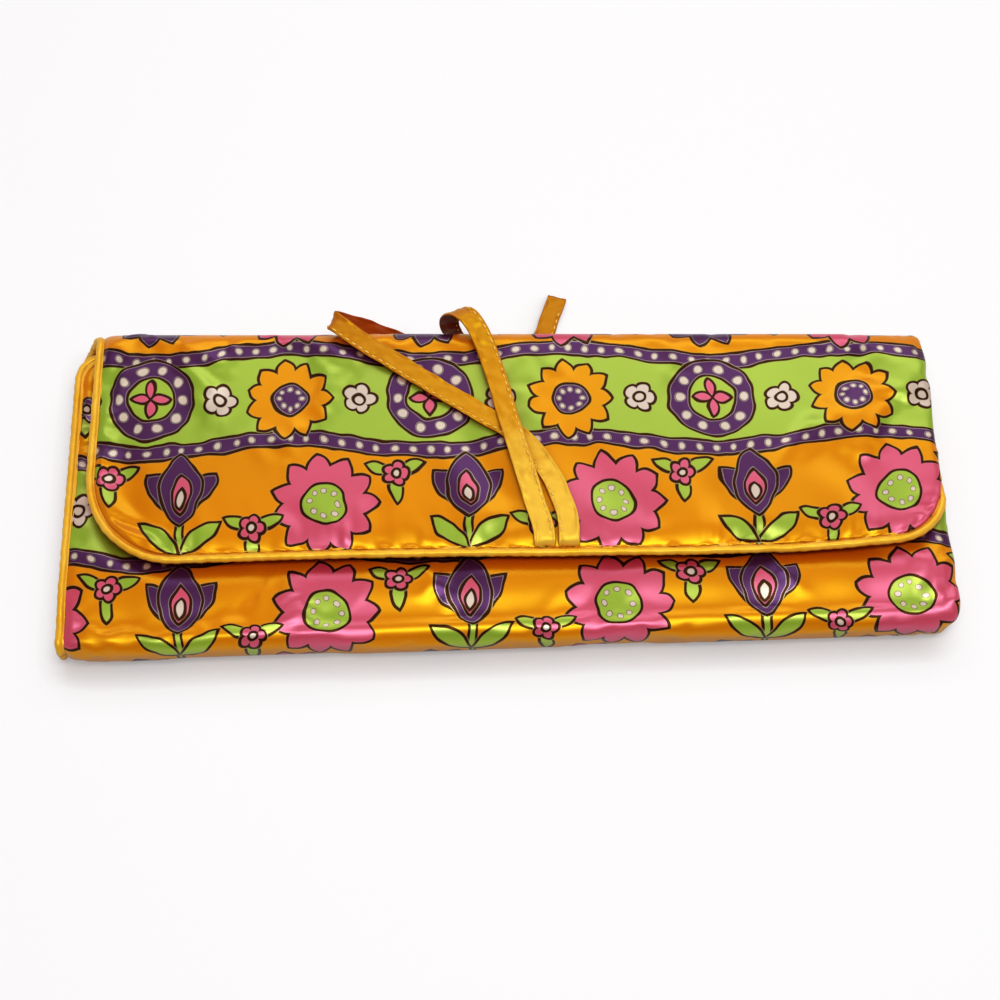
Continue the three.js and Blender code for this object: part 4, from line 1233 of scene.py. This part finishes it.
coverNodes = {
    "flap": ["flap_cover", "flap_padding", "far_fold_cover", "far_fold_padding"],
    "base": ["base_cover", "base_padding", "near_fold_cover", "near_fold_padding"],
    "front": ["front_cover", "front_padding"],
}
for part in pieceRows:
    rows = rowsOf(part, fineS)
    cover = addFolded("printed_cover", part, coverPoints[rows], gridFaces(*fineX[rows].shape),
                      printedMaterial, coverNodes, "printed_satin")
    giveFlatPlaces(cover, flatX[rows], fineS[rows])


# The lining, with a shallower rise and its own softer waves
lining = {
    "spacing": 3.2,
    "wave": 0.12,             # height and length of its waves
    "waveLength": 22.0,
    "curlOver": 6.0,          # at the right end it follows the cover's curl over this distance
    "curlOut": 0.7,
    "curlFlat": 0.85,
}
liningX, liningS = clothGrid(lining["spacing"])
liningEdge = edgeDistance(liningX, liningS)
liningWave = lining["wave"] * ripples(liningX, liningS, lining["waveLength"], 31, stretch=2.0)
liningCurl = curlShare(liningS) * smoothStep(liningX, roll["right"] - lining["curlOver"], roll["right"])
liningDepth = roll["panel"] - seamDepth(liningEdge) * (1 - lining["curlFlat"] * liningCurl)
liningDepth = liningDepth + liningWave * np.clip(liningEdge / 6, 0, 1) + frontSag(liningS)
liningPoints = place(liningX + lining["curlOut"] * liningCurl, liningS, liningDepth)
liningNodes = {
    "flap": ["flap_lining", "far_fold_lining"],
    "base": ["base_lining", "near_fold_lining"],
    "front": ["front_lining"],
}
for part in pieceRows:
    rows = rowsOf(part, liningS)
    addFolded("satin_lining", part, liningPoints[rows], gridFaces(*liningX[rows].shape, flip=True),
              liningMaterial, liningNodes, "lining_satin")


# The piping: a cord in bias-cut satin with its sewn flange towards the panel
piping = {
    "cordRadius": 1.12,
    "cordOut": 0.28,          # places across, counted outward from the piping's own line
    "flangeIn": -1.75,
    "flangeHalf": 0.5,
    "grooveHalf": 0.34,
    "grooveAt": -0.95,
    "step": 0.9,
    "pucker": 0.07,
    "twist": 3.4,             # length of one turn of the bias puckers
}


def pipingSection():
    turns = np.radians(np.linspace(-142, 142, 15))
    cord = np.stack([piping["cordOut"] + piping["cordRadius"] * np.cos(turns),
                     piping["cordRadius"] * np.sin(turns)], 1)
    top = np.array([[piping["grooveAt"], piping["grooveHalf"]],
                    [(piping["grooveAt"] + piping["flangeIn"]) / 2, piping["flangeHalf"]],
                    [piping["flangeIn"], piping["grooveHalf"]]])
    return np.concatenate([cord, top, top[::-1] * [1, -1]])


def sideLine(side, fromS, toS, step):
    s = np.linspace(fromS, toS, max(2, round(abs(toS - fromS) / step)) + 1)
    edge = sidesAt(s)[0 if side < 0 else 1]
    flat = np.zeros_like(s)
    return np.stack([edge + side * roll["pipingOut"], s, flat + side, flat], 1)


def roundEnd(atFlap, step):
    # the piping's line on the flat cloth round a panel's sewn end, from its left side to its right
    endS = 0.0 if atFlap else clothLength
    out = -1 if atFlap else 1
    left, right = sidesAt(np.array(endS))
    corners = (roll["cornerLeft"], roll["cornerRight"]) if atFlap else (roll["frontCorner"],) * 2
    rows = []
    for side, edge, corner in ((-1, left, corners[0]), (1, right, corners[1])):
        reach = corner + roll["pipingOut"]
        turns = np.linspace(0, math.pi / 2, max(6, round(reach * math.pi / 2 / step)) + 1)
        ox, os = side * np.cos(turns), out * np.sin(turns)
        bit = np.stack([edge - side * corner + reach * ox, endS - out * corner + reach * os, ox, os], 1)
        rows.append(bit if side < 0 else bit[::-1])
    gap = rows[1][0, 0] - rows[0][-1, 0]
    x = np.linspace(rows[0][-1, 0], rows[1][0, 0], round(gap / step) + 1)[1:-1]
    flat = np.zeros_like(x)
    straight = np.stack([x, flat + endS + out * roll["pipingOut"], flat, flat + out], 1)
    return np.concatenate([rows[0], straight, rows[1]])


def pipingRoute(part):
    step = piping["step"]
    if part == "base":
        return [sideLine(side, farSplit, nearSplit, step) for side in (-1, 1)]
    atFlap = part == "flap"
    split = farSplit if atFlap else nearSplit
    lastLeft = roll["cornerLeft"] if atFlap else clothLength - roll["frontCorner"]
    firstRight = roll["cornerRight"] if atFlap else clothLength - roll["frontCorner"]
    down = sideLine(-1, split, lastLeft, step)[:-1]
    up = sideLine(1, firstRight, split, step)[1:]
    return [np.concatenate([down, roundEnd(atFlap, step), up])]


def pipingPoints(route, seed):
    x, s, ox, os = route.T
    under = curlShare(s) * (ox > 0.99)
    x = x - (roll["pipingOut"] - curl["pipingOut"]) * under
    depth = roll["panel"] / 2 + (curl["pipingDepth"] - roll["panel"] / 2) * under
    centres = place(x, s, depth + frontSag(s))
    leanY, leanZ = onPath(s, 7), onPath(s, 8)
    out = unit(np.stack([ox, os * leanY - roll["foldSkew"] * ox * onPath(s, 5), os * leanZ], 1))
    tangents = unit(np.gradient(centres, axis=0))
    out = unit(out - tangents * (out * tangents).sum(1, keepdims=True))
    up = outward(s)
    up = unit(up - tangents * (up * tangents).sum(1, keepdims=True))
    along = lengthAlong(centres)
    section = pipingSection()
    turn = np.arctan2(section[:, 1], section[:, 0])
    l = along[:, None]
    twisted = np.sin(2 * math.pi * l / piping["twist"] + turn)
    swell = piping["pucker"] * (twisted + 0.8 * ripples(l, 2 * turn + 0 * l, 5.0, seed))
    section = section[None] * (1 + swell[..., None] / 1.3)
    wander = 0.1 * ripples(along, 0 * along, 16, seed + 1)
    return sweep(centres + up * wander[:, None], out, up, section)


pipingNodes = {
    "flap": ["flap_piping", "far_fold_piping_left", "far_fold_piping_right"],
    "base": ["base_piping_left", "base_piping_right", "near_fold_piping_left", "near_fold_piping_right"],
    "front": ["front_piping"],
}
for part in pieceRows:
    cords = [pipingPoints(route, 40 + number) for number, route in enumerate(pipingRoute(part))]
    addFolded("corded_edge", part, *merged(cords), pipingMaterial, pipingNodes, "satin_piping")
print("covers, lining and piping made")


# Inside the roll: zipped pockets, a slip pocket and a ring roll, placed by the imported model's boxes
sewing = {
    "spacing": 2.6,
    "stitchLength": 1.7,
    "stitchGap": 0.8,
    "stitchWidth": 0.34,
    "fromEdge": 1.5,          # the line of stitches runs this far inside the edge
    "wave": 17.0,             # length of the waves in a free face
}


def wovenTape():
    # woven polyester zip tape: matte, with a raised cord every 1.1 mm across the weave
    material, tree = newMaterial("woven_polyester_zip_tape")
    place = placeInMm(tree)
    ribs = addNode(tree, "TexWave", {"Vector": place, "Scale": 0.286, "Distortion": 0.6, "Detail": 2.0},
                   bands_direction="Y", wave_type="BANDS")
    fibre = addNode(tree, "TexNoise", {"Vector": place, "Scale": 2.2, "Detail": 3.0})
    height = addNode(tree, "Math", [ribs, 0.7, fibre], operation="MULTIPLY_ADD")
    colour = addNode(tree, "Mix", {0: fibre, 6: toLinear("#C96C10"), 7: toLinear("#E08A22")}, out=2,
                     data_type="RGBA")
    finishMaterial(tree, addNode(tree, "BsdfPrincipled", {
        "Base Color": colour, "Roughness": 0.78, "Sheen Weight": 0.2,
        "Normal": addNode(tree, "Bump", {"Height": height, "Strength": 0.6, "Distance": 0.12 * mm})}))
    return material


def nylonCoil():
    # drawn nylon: a smooth, waxy gloss with faint flow lines
    material, tree = newMaterial("drawn_nylon_zip_coil")
    flow = addNode(tree, "TexNoise", {"Vector": placeInMm(tree), "Scale": 1.4, "Detail": 2.0})
    colour = addNode(tree, "Mix", {0: flow, 6: toLinear("#D07414"), 7: toLinear("#E69430")}, out=2,
                     data_type="RGBA")
    finishMaterial(tree, addNode(tree, "BsdfPrincipled", {
        "Base Color": colour, "Roughness": addNode(tree, "MapRange", [flow, 0.3, 0.7, 0.3, 0.45]),
        "IOR": 1.53, "Subsurface Weight": 0.08, "Subsurface Scale": 0.4 * mm,
        "Normal": addNode(tree, "Bump", {"Height": flow, "Strength": 0.15, "Distance": 0.1 * mm})}))
    return material


def platedMetal(name, code, roughness):
    # nickel plating on zinc: tumbled smooth, with fine rub marks that blur the reflections
    material, tree = newMaterial(name)
    marks = addNode(tree, "VectorMath", [placeInMm(tree), (0.5, 6.0, 2.0)], operation="MULTIPLY")
    rubbed = addNode(tree, "TexNoise", {"Vector": marks, "Scale": 1.5, "Detail": 4.0})
    bright = addNode(tree, "MapRange", [rubbed, 0.3, 0.7, 0.82, 1.0])
    colour = addNode(tree, "Mix", {0: 1.0, 6: toLinear(code), 7: bright}, out=2, data_type="RGBA",
                     blend_type="MULTIPLY")
    finishMaterial(tree, addNode(tree, "BsdfPrincipled", {
        "Base Color": colour, "Metallic": 1.0,
        "Roughness": addNode(tree, "MapRange", [rubbed, 0.3, 0.7, roughness, roughness + 0.14]),
        "Normal": addNode(tree, "Bump", {"Height": rubbed, "Strength": 0.12, "Distance": 0.05 * mm})}))
    return material


tapeMaterial = wovenTape()
coilMaterial = nylonCoil()
zipMetal = platedMetal("nickel_plated_zip_metal", "#D2CCC2", 0.2)
snapMetal = platedMetal("nickel_plated_snap", "#CFC8BC", 0.24)


def placed(piece, node, stands=True):
    # the piece moves with the body that its node belongs to
    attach(piece, frame["nodes"][node]["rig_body"])
    if stands:
        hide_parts(node)


def threadRow(line, up):
    # stitches along a line: a small bead each, lying along it
    line, steps, places = evenly(line, unit(np.gradient(line, axis=0)), 0.4)
    pitch = sewing["stitchLength"] + sewing["stitchGap"]
    lift = np.array([[0, 0, up]])
    shares = np.linspace(0, 1, 5)
    section = ovals(sewing["stitchWidth"] / 2 * (0.35 + 0.65 * np.sin(math.pi * shares)), 6, 0.7)
    beads = []
    for start in np.arange(0, places[-1] - pitch, pitch):
        l = start + shares * sewing["stitchLength"]
        aside = np.cross(lift, unit(between(l, places, steps)))
        beads.append(sweep(between(l, places, line), aside, lift, section))
    return merged(beads)


def roundedLine(low, high, corner, inset):
    # a rectangle with round corners, as a closed line
    reach = max(corner - inset, 0.3)
    turns = np.radians(np.linspace(0, 90, 7))
    middle, half = (low[:2] + high[:2]) / 2, (high[:2] - low[:2]) / 2 - inset - reach
    corners = []
    for quarter, signs in enumerate(((1, 1), (-1, 1), (-1, -1), (1, -1))):
        turned = turns + quarter * math.pi / 2
        corners.append(middle + half * signs + reach * np.stack([np.cos(turned), np.sin(turned)], 1))
    return np.concatenate(corners + [corners[0][:1]])


def sewnCloth(node, material, up, full, corner, seed):
    # a thin sewn piece: flat against what it is sewn to, with its free face a little full
    low, high = boxOf(node)
    size = high - low
    shares = []
    for length in size[:2]:
        even = np.linspace(0, 1, max(5, round(length / sewing["spacing"])) + 1)
        shares.append(0.55 * even + 0.45 * (1 - np.cos(math.pi * even)) / 2)
    y = low[1] + size[1] * shares[1][:, None] + 0 * shares[0][None, :]
    fromLong = np.minimum(y - low[1], high[1] - y)
    inset = cornerInset(corner, fromLong)
    x = low[0] + inset + (size[0] - 2 * inset) * shares[0][None, :]
    toEdge = np.minimum(fromLong, np.minimum(x - low[0] - inset, high[0] - inset - x))
    inside = np.clip((toEdge - sewing["fromEdge"]) / 7, 0, 1)
    fullness = full * inside * (0.55 + 0.45 * ripples(x, y, sewing["wave"], seed, stretch=1.6))
    groove = 0.13 * np.exp(-((toEdge - sewing["fromEdge"]) / 0.6) ** 2)
    face = size[2] * (1 - 0.4 * np.exp(-toEdge / 0.4)) + np.maximum(fullness, 0) - groove
    back = size[2] * 0.3 * np.exp(-toEdge / 0.4)
    start = low[2] if up > 0 else high[2]
    points = np.concatenate([np.stack([x, y, start + up * z], -1).reshape(-1, 3) for z in (face, back)])
    rows, columns = x.shape
    count = rows * columns
    faces = [tuple(f) for f in gridFaces(rows, columns, flip=up < 0)]
    faces += [tuple(f + count) for f in gridFaces(rows, columns, flip=up > 0)]
    index = np.arange(count).reshape(rows, columns)
    rim = np.concatenate([index[0, :-1], index[:-1, -1], index[-1, :0:-1], index[:0:-1, 0]]).tolist()
    for a, b in zip(rim, rim[1:] + rim[:1]):
        wall = (b, a, a + count, b + count)
        faces.append(wall if up > 0 else wall[::-1])
    piece = makeObject(node + "_sewn", points, faces, [material])
    line = roundedLine(low, high, corner, sewing["fromEdge"])
    height = np.full((len(line), 1), start + up * (size[2] - 0.08))
    stitches = makeObject(node + "_stitches", *threadRow(np.hstack([line, height]), up), [threadMaterial])
    placed(stitches, node, stands=False)
    placed(piece, node)
    return piece, size, stitches


def addPocket(node, up, full, seed):
    piece, size, stitches = sewnCloth(node, liningMaterial, up, full, 5.0, seed)


def loft(outline, low, high, levels):
    # a body of stacked outlines; each level is a share of the height and the outline's scale there
    middle = (outline.min(0) + outline.max(0)) / 2
    rings = []
    for share, scale in levels:
        z = np.full((len(outline), 1), low[2] + (high[2] - low[2]) * share)
        rings.append(np.hstack([middle + (outline - middle) * scale, z]))
    return np.concatenate(rings), tubeFaces(len(rings), len(outline))


def smoothOutline(low, high, corners):
    # a closed curve that cuts the corners, which are given as shares of the box
    corners = low[:2] + (high - low)[:2] * np.array(corners)
    found = []
    for i, corner in enumerate(corners):
        before = corner + (corners[i - 1] - corner) * 0.3
        after = corner + (corners[(i + 1) % len(corners)] - corner) * 0.3
        for w in np.linspace(0, 1, 6):
            found.append((1 - w) ** 2 * before + 2 * w * (1 - w) * corner + w * w * after)
    return np.array(found)


coil = {
    "pitch": 1.6,             # of one side's teeth; the other side's lie between them
    "past": 0.55,             # each tooth reaches this far past the middle
    "wire": 0.62,
}


def addCoil(node):
    low, high = boxOf(node)
    middle, half = (low + high) / 2, (high - low) / 2
    shares = np.linspace(0, 1, 7)
    thick = np.sqrt(np.clip(1 - (2 * shares - 1) ** 4, 0.04, 1))
    head = 1 + 0.25 * np.exp(-((shares - 0.12) / 0.12) ** 2)
    wide = coil["wire"] / 2 * thick * head
    tall = half[2] * thick * (0.86 + 0.14 * head)
    section = ovals(np.ones(7), 8, 1.0) * np.stack([wide, tall], 1)[:, None]
    teeth = []
    for side in (-1, 1):
        across = np.array([[-1.0 * side, 0, 0]])
        y = middle[1] + side * (-coil["past"] + (half[1] + coil["past"]) * shares)
        first = low[0] + coil["pitch"] * (0.5 if side < 0 else 1.0)
        for x in np.arange(first, high[0] - 0.4, coil["pitch"]):
            centres = np.stack([np.full(7, x), y, np.full(7, middle[2])], 1)
            teeth.append(sweep(centres, across, np.array([[0, 0, 1.0]]), section))
    placed(makeObject(node + "_coil", *merged(teeth), [coilMaterial]), node)


def addStop(node):
    # a bent metal clip: round-cornered, with a dent where the tool pressed it
    low, high = boxOf(node)
    outline = smoothOutline(low, high, [(0, 0), (1, 0), (1, 1), (0, 1)])
    levels = [(0, 0.86), (0.15, 0.97), (0.5, 1.0), (0.82, 0.95), (1, 0.8), (0.88, 0.45)]
    placed(makeObject(node + "_clip", *loft(outline, low, high, levels), [zipMetal]), node)


def addSlider(node, up):
    # die-cast body with a waisted edge, and a bridge that holds the pull
    low, high = boxOf(node)
    length, middle = high[0] - low[0], (low[1] + high[1]) / 2
    corners = [(0, 0.24), (0.35, 0), (1, 0.1), (1, 0.9), (0.35, 1), (0, 0.76)]
    levels = [(0, 0.9), (0.12, 0.985), (0.34, 1.0), (0.46, 0.9), (0.58, 0.9), (0.7, 1.0),
              (0.9, 0.98), (1, 0.88)]
    body = loft(smoothOutline(low, high, corners), low, high, levels)
    top = high[2] if up > 0 else low[2]
    turns = np.linspace(0, math.pi, 13)
    reach, rise = length * 0.34, 1.45
    centres = np.stack([low[0] + length * 0.46 - reach * np.cos(turns), np.full(13, middle),
                        top + up * (rise * np.sin(turns) ** 0.7 - 0.25)], 1)
    across = np.array([[0, 1.0, 0]])
    above = np.cross(unit(np.gradient(centres, axis=0)), across)
    bridge = sweep(centres, across, above, ovals(np.full(13, 0.62), 8, 0.34 / 0.62))
    placed(makeObject(node + "_body", *merged([body, bridge]), [zipMetal]), node)


def addPull(node):
    # a stamped tab with rolled edges and a round hole near its free end
    low, high = boxOf(node)
    half = (high[1] - low[1]) / 2
    middle = np.array([high[0] - half, (low[1] + high[1]) / 2])
    turns = np.radians(np.linspace(-90, 90, 13))
    cap = middle + half * np.stack([np.cos(turns), np.sin(turns)], 1)
    tail = np.array([[0.5, 0.6], [0, 0.36], [0, -0.36], [0.5, -0.6]]) * [1, half] + [low[0], middle[1]]
    sides = np.linspace(0, 1, 8)[1:, None]
    upper = cap[-1] + (tail[0] - cap[-1]) * sides
    lower = tail[3] + (cap[0] - tail[3]) * sides[:-1]
    outline = np.concatenate([cap, upper, tail[1:], lower])
    aim = unit(outline - middle)
    hole = middle + aim * half * 0.45
    rim = ((low[2], 0.12), (low[2] + 0.14, 0), (high[2] - 0.14, 0), (high[2], 0.12))
    rings = [(outline - aim * move, z) for z, move in rim]
    rings += [(hole + aim * move, z) for z, move in rim[::-1]]
    points = [np.column_stack([ring, np.full(len(ring), z)]) for ring, z in rings]
    tab = np.concatenate(points), tubeFaces(len(rings), len(outline), closed=True)
    placed(makeObject(node + "_tab", *tab, [zipMetal]), node)


def addZip(name, up, seed):
    for number, side in enumerate(("near", "far")):
        sewnCloth(f"{name}_zip_tape_{side}", tapeMaterial, up, 0.0, 0.6, seed + number)
    addCoil(name + "_zip_teeth")
    addStop(name + "_zip_stop_left")
    addStop(name + "_zip_stop_right")
    addSlider(name + "_zip_slider", up)
    addPull(name + "_zip_pull")


ringRoll = {
    "taper": 7.0,             # the stuffed roll is gathered to its ends over this length
    "gathers": 11,
}


def addRingRoll(node):
    low, high = boxOf(node)
    middle, half = (low + high) / 2, (high - low) / 2
    taper = ringRoll["taper"]
    turns = np.linspace(0, math.pi / 2, 9)
    x = np.concatenate([low[0] + taper * (1 - np.cos(turns))[:-1],
                        np.linspace(low[0] + taper, high[0] - taper, 76),
                        high[0] - taper * (1 - np.sin(turns))[1:]])
    toEnd = np.minimum(x - low[0], high[0] - x)
    full = np.sqrt(np.clip(1 - (1 - np.clip(toEnd / taper, 0, 1)) ** 2, 0.02, 1))
    turns = np.radians(np.arange(0, 360, 9))
    gather = 0.07 * np.exp(-toEnd / 6)[:, None] * np.cos(ringRoll["gathers"] * turns)[None, :]
    uneven = 0.025 * ripples(x[:, None], 6 * turns[None, :], 13, 71)
    size = full[:, None] * (0.97 + gather + uneven)
    section = np.stack([half[1] * np.cos(turns)[None] * size, half[2] * np.sin(turns)[None] * size], -1)
    centres = np.stack([x, np.full_like(x, middle[1]), np.full_like(x, middle[2])], 1)
    tube = sweep(centres, np.array([[0, 1.0, 0]]), np.array([[0, 0, 1.0]]), section)
    stuffed = makeObject("stuffed_" + node, *tube, [liningMaterial])
    placed(stuffed, node)


def addSnap(node, hollow):
    # pressed metal: a rolled rim round a face with a dome or a socket in it
    low, high = boxOf(node)
    turns = np.radians(np.arange(0, 360, 10))
    outline = (low + high)[:2] / 2 + (high[0] - low[0]) / 2 * np.stack([np.cos(turns), np.sin(turns)], 1)
    levels = [(0, 0.93), (0.15, 0.99), (0.55, 1.0), (0.92, 0.93), (1, 0.82), (0.78, 0.7), (0.62, 0.56),
              (0.62, 0.36), (0.55, 0.26), (0.5 if hollow else 0.97, 0.14)]
    placed(makeObject(node + "_pressed", *loft(outline, low, high, levels), [snapMetal]), node)


addPocket("base_pocket", 1, 0.12, 81)
addPocket("front_pocket", -1, 0.5, 82)
addPocket("flap_slip_pocket", -1, 0.0, 83)
addZip("base", 1, 84)
addZip("front", -1, 88)
addRingRoll("ring_roll")
sewnCloth("ring_roll_sewn_tab", liningMaterial, 1, 0.0, 1.0, 91)
sewnCloth("ring_roll_end_tab", liningMaterial, 1, 0.0, 1.0, 92)
addSnap("ring_roll_snap_stud", False)
addSnap("ring_roll_snap_socket", True)
print("inside pieces made")


# Floor, lamps and world: a plain white sweep under large soft lamps
studio = {
    "floor": "#A9A6A7",
    "floorRadius": 2.0,
    "floorHeight": -0.0002,
    "sweepRadius": 1.2,
    "floorGlow": 0.572,
    "paintedShadowReach": 0.0085,   # how far the painted shadow beside the roll reaches, in metres
    "paintedShadowDarkest": 0.6,
    "paintedShadowTint": (0.94, 0.82, 0.76, 1),     # linear: the roll's colour is in that painted shadow
    "roomLight": (0.5, 0.35, 0.8),            # the room's light comes mostly from this side, behind on the right, so the painted shadow leans away from it
    "worldStrength": 0.24,
    # the lamps: size, power and place, and all of them look at the roll
    "strip": ((0.6, 0.2), 6.0, (0.05, -0.21, 0.95)),
    "window": ((1.0, 0.4), 3.3, (0.12, 0.62, 0.7)),
}


def addFloor():
    # a round sheet of paper that curves up far from the roll
    turns = np.linspace(0, 2 * math.pi, 96, endpoint=False)
    curve = np.radians(np.linspace(0, 90, 13))
    outer = studio["floorRadius"] + studio["sweepRadius"] * np.sin(curve)
    rings = [(studio["floorRadius"] / 2, 0)]
    rings += list(zip(outer, studio["sweepRadius"] * (1 - np.cos(curve))))
    points = np.array([[r * math.cos(turn), r * math.sin(turn), z + studio["floorHeight"]]
                       for r, z in rings for turn in turns])
    faces = [face[::-1] for face in tubeFaces(len(rings), len(turns))[:-1]]     # open at the top
    floor = makeObject("floor", points / mm, faces, [], smooth=False)
    # matte background paper: too rough to mirror the lamps
    material, tree = newMaterial("paper_sweep")
    grain = addNode(tree, "TexNoise", {"Scale": 300.0, "Detail": 3.0})
    # painted shadow: ambient occlusion darkens the paper's colour and glow beside the roll, most on the side
    # away from the room's light
    aim = addNode(tree, "CombineXYZ", studio["roomLight"])
    clear = addNode(tree, "AmbientOcclusion", {"Distance": studio["paintedShadowReach"], "Normal": aim}, out=1,
                    samples=8)
    light = addNode(tree, "MapRange", [clear, 0.3, 1.0, studio["paintedShadowDarkest"], 1.0])
    white = addNode(tree, "Mix", {0: light, 6: studio["paintedShadowTint"], 7: (1, 1, 1, 1)}, out=2,
                    data_type="RGBA")
    white = addNode(tree, "VectorMath", {0: white, "Scale": light}, operation="SCALE")
    dye = addNode(tree, "VectorMath", [white, toLinear(studio["floor"])[:3]], operation="MULTIPLY")
    paper = addNode(tree, "BsdfPrincipled", {
        "Base Color": dye, "Roughness": 0.9,
        "Normal": addNode(tree, "Bump", {"Height": grain, "Strength": 0.05, "Distance": 0.0002})})
    seen = addNode(tree, "LightPath", out="Is Camera Ray")
    for kind in ("Is Glossy Ray", "Is Transmission Ray"):
        seen = addNode(tree, "Math", [seen, addNode(tree, "LightPath", out=kind)], operation="MAXIMUM")
    strength = addNode(tree, "Math", [seen, studio["floorGlow"]], operation="MULTIPLY")
    glow = addNode(tree, "Emission", {"Color": white, "Strength": strength})
    finishMaterial(tree, addNode(tree, "AddShader", [paper, glow]))
    floor.data.materials.append(material)


def addLamp(name):
    size, power, position = studio[name]
    data = bpy.data.lights.new(name, "AREA")
    data.shape = "RECTANGLE"
    data.size, data.size_y = size
    data.energy = power
    lamp = bpy.data.objects.new(name, data)
    turned = (-Vector(position)).to_track_quat("-Z", "Y").to_matrix().to_4x4()
    lamp.matrix_world = Matrix.Translation(position) @ turned
    bpy.context.scene.collection.objects.link(lamp)


def addWorld():
    world = bpy.data.worlds.new("studio")
    world.use_nodes = True
    tree = world.node_tree
    tree.nodes.clear()
    shade = addNode(tree, "Background", {"Color": (1, 1, 1, 1), "Strength": studio["worldStrength"]})
    tree.links.new(shade, tree.nodes.new("ShaderNodeOutputWorld").inputs["Surface"])
    bpy.context.scene.world = world


addFloor()
addLamp("strip")
addLamp("window")
addWorld()
print("floor, lamps and world set")
bpy.context.scene.view_settings.view_transform = "Standard"
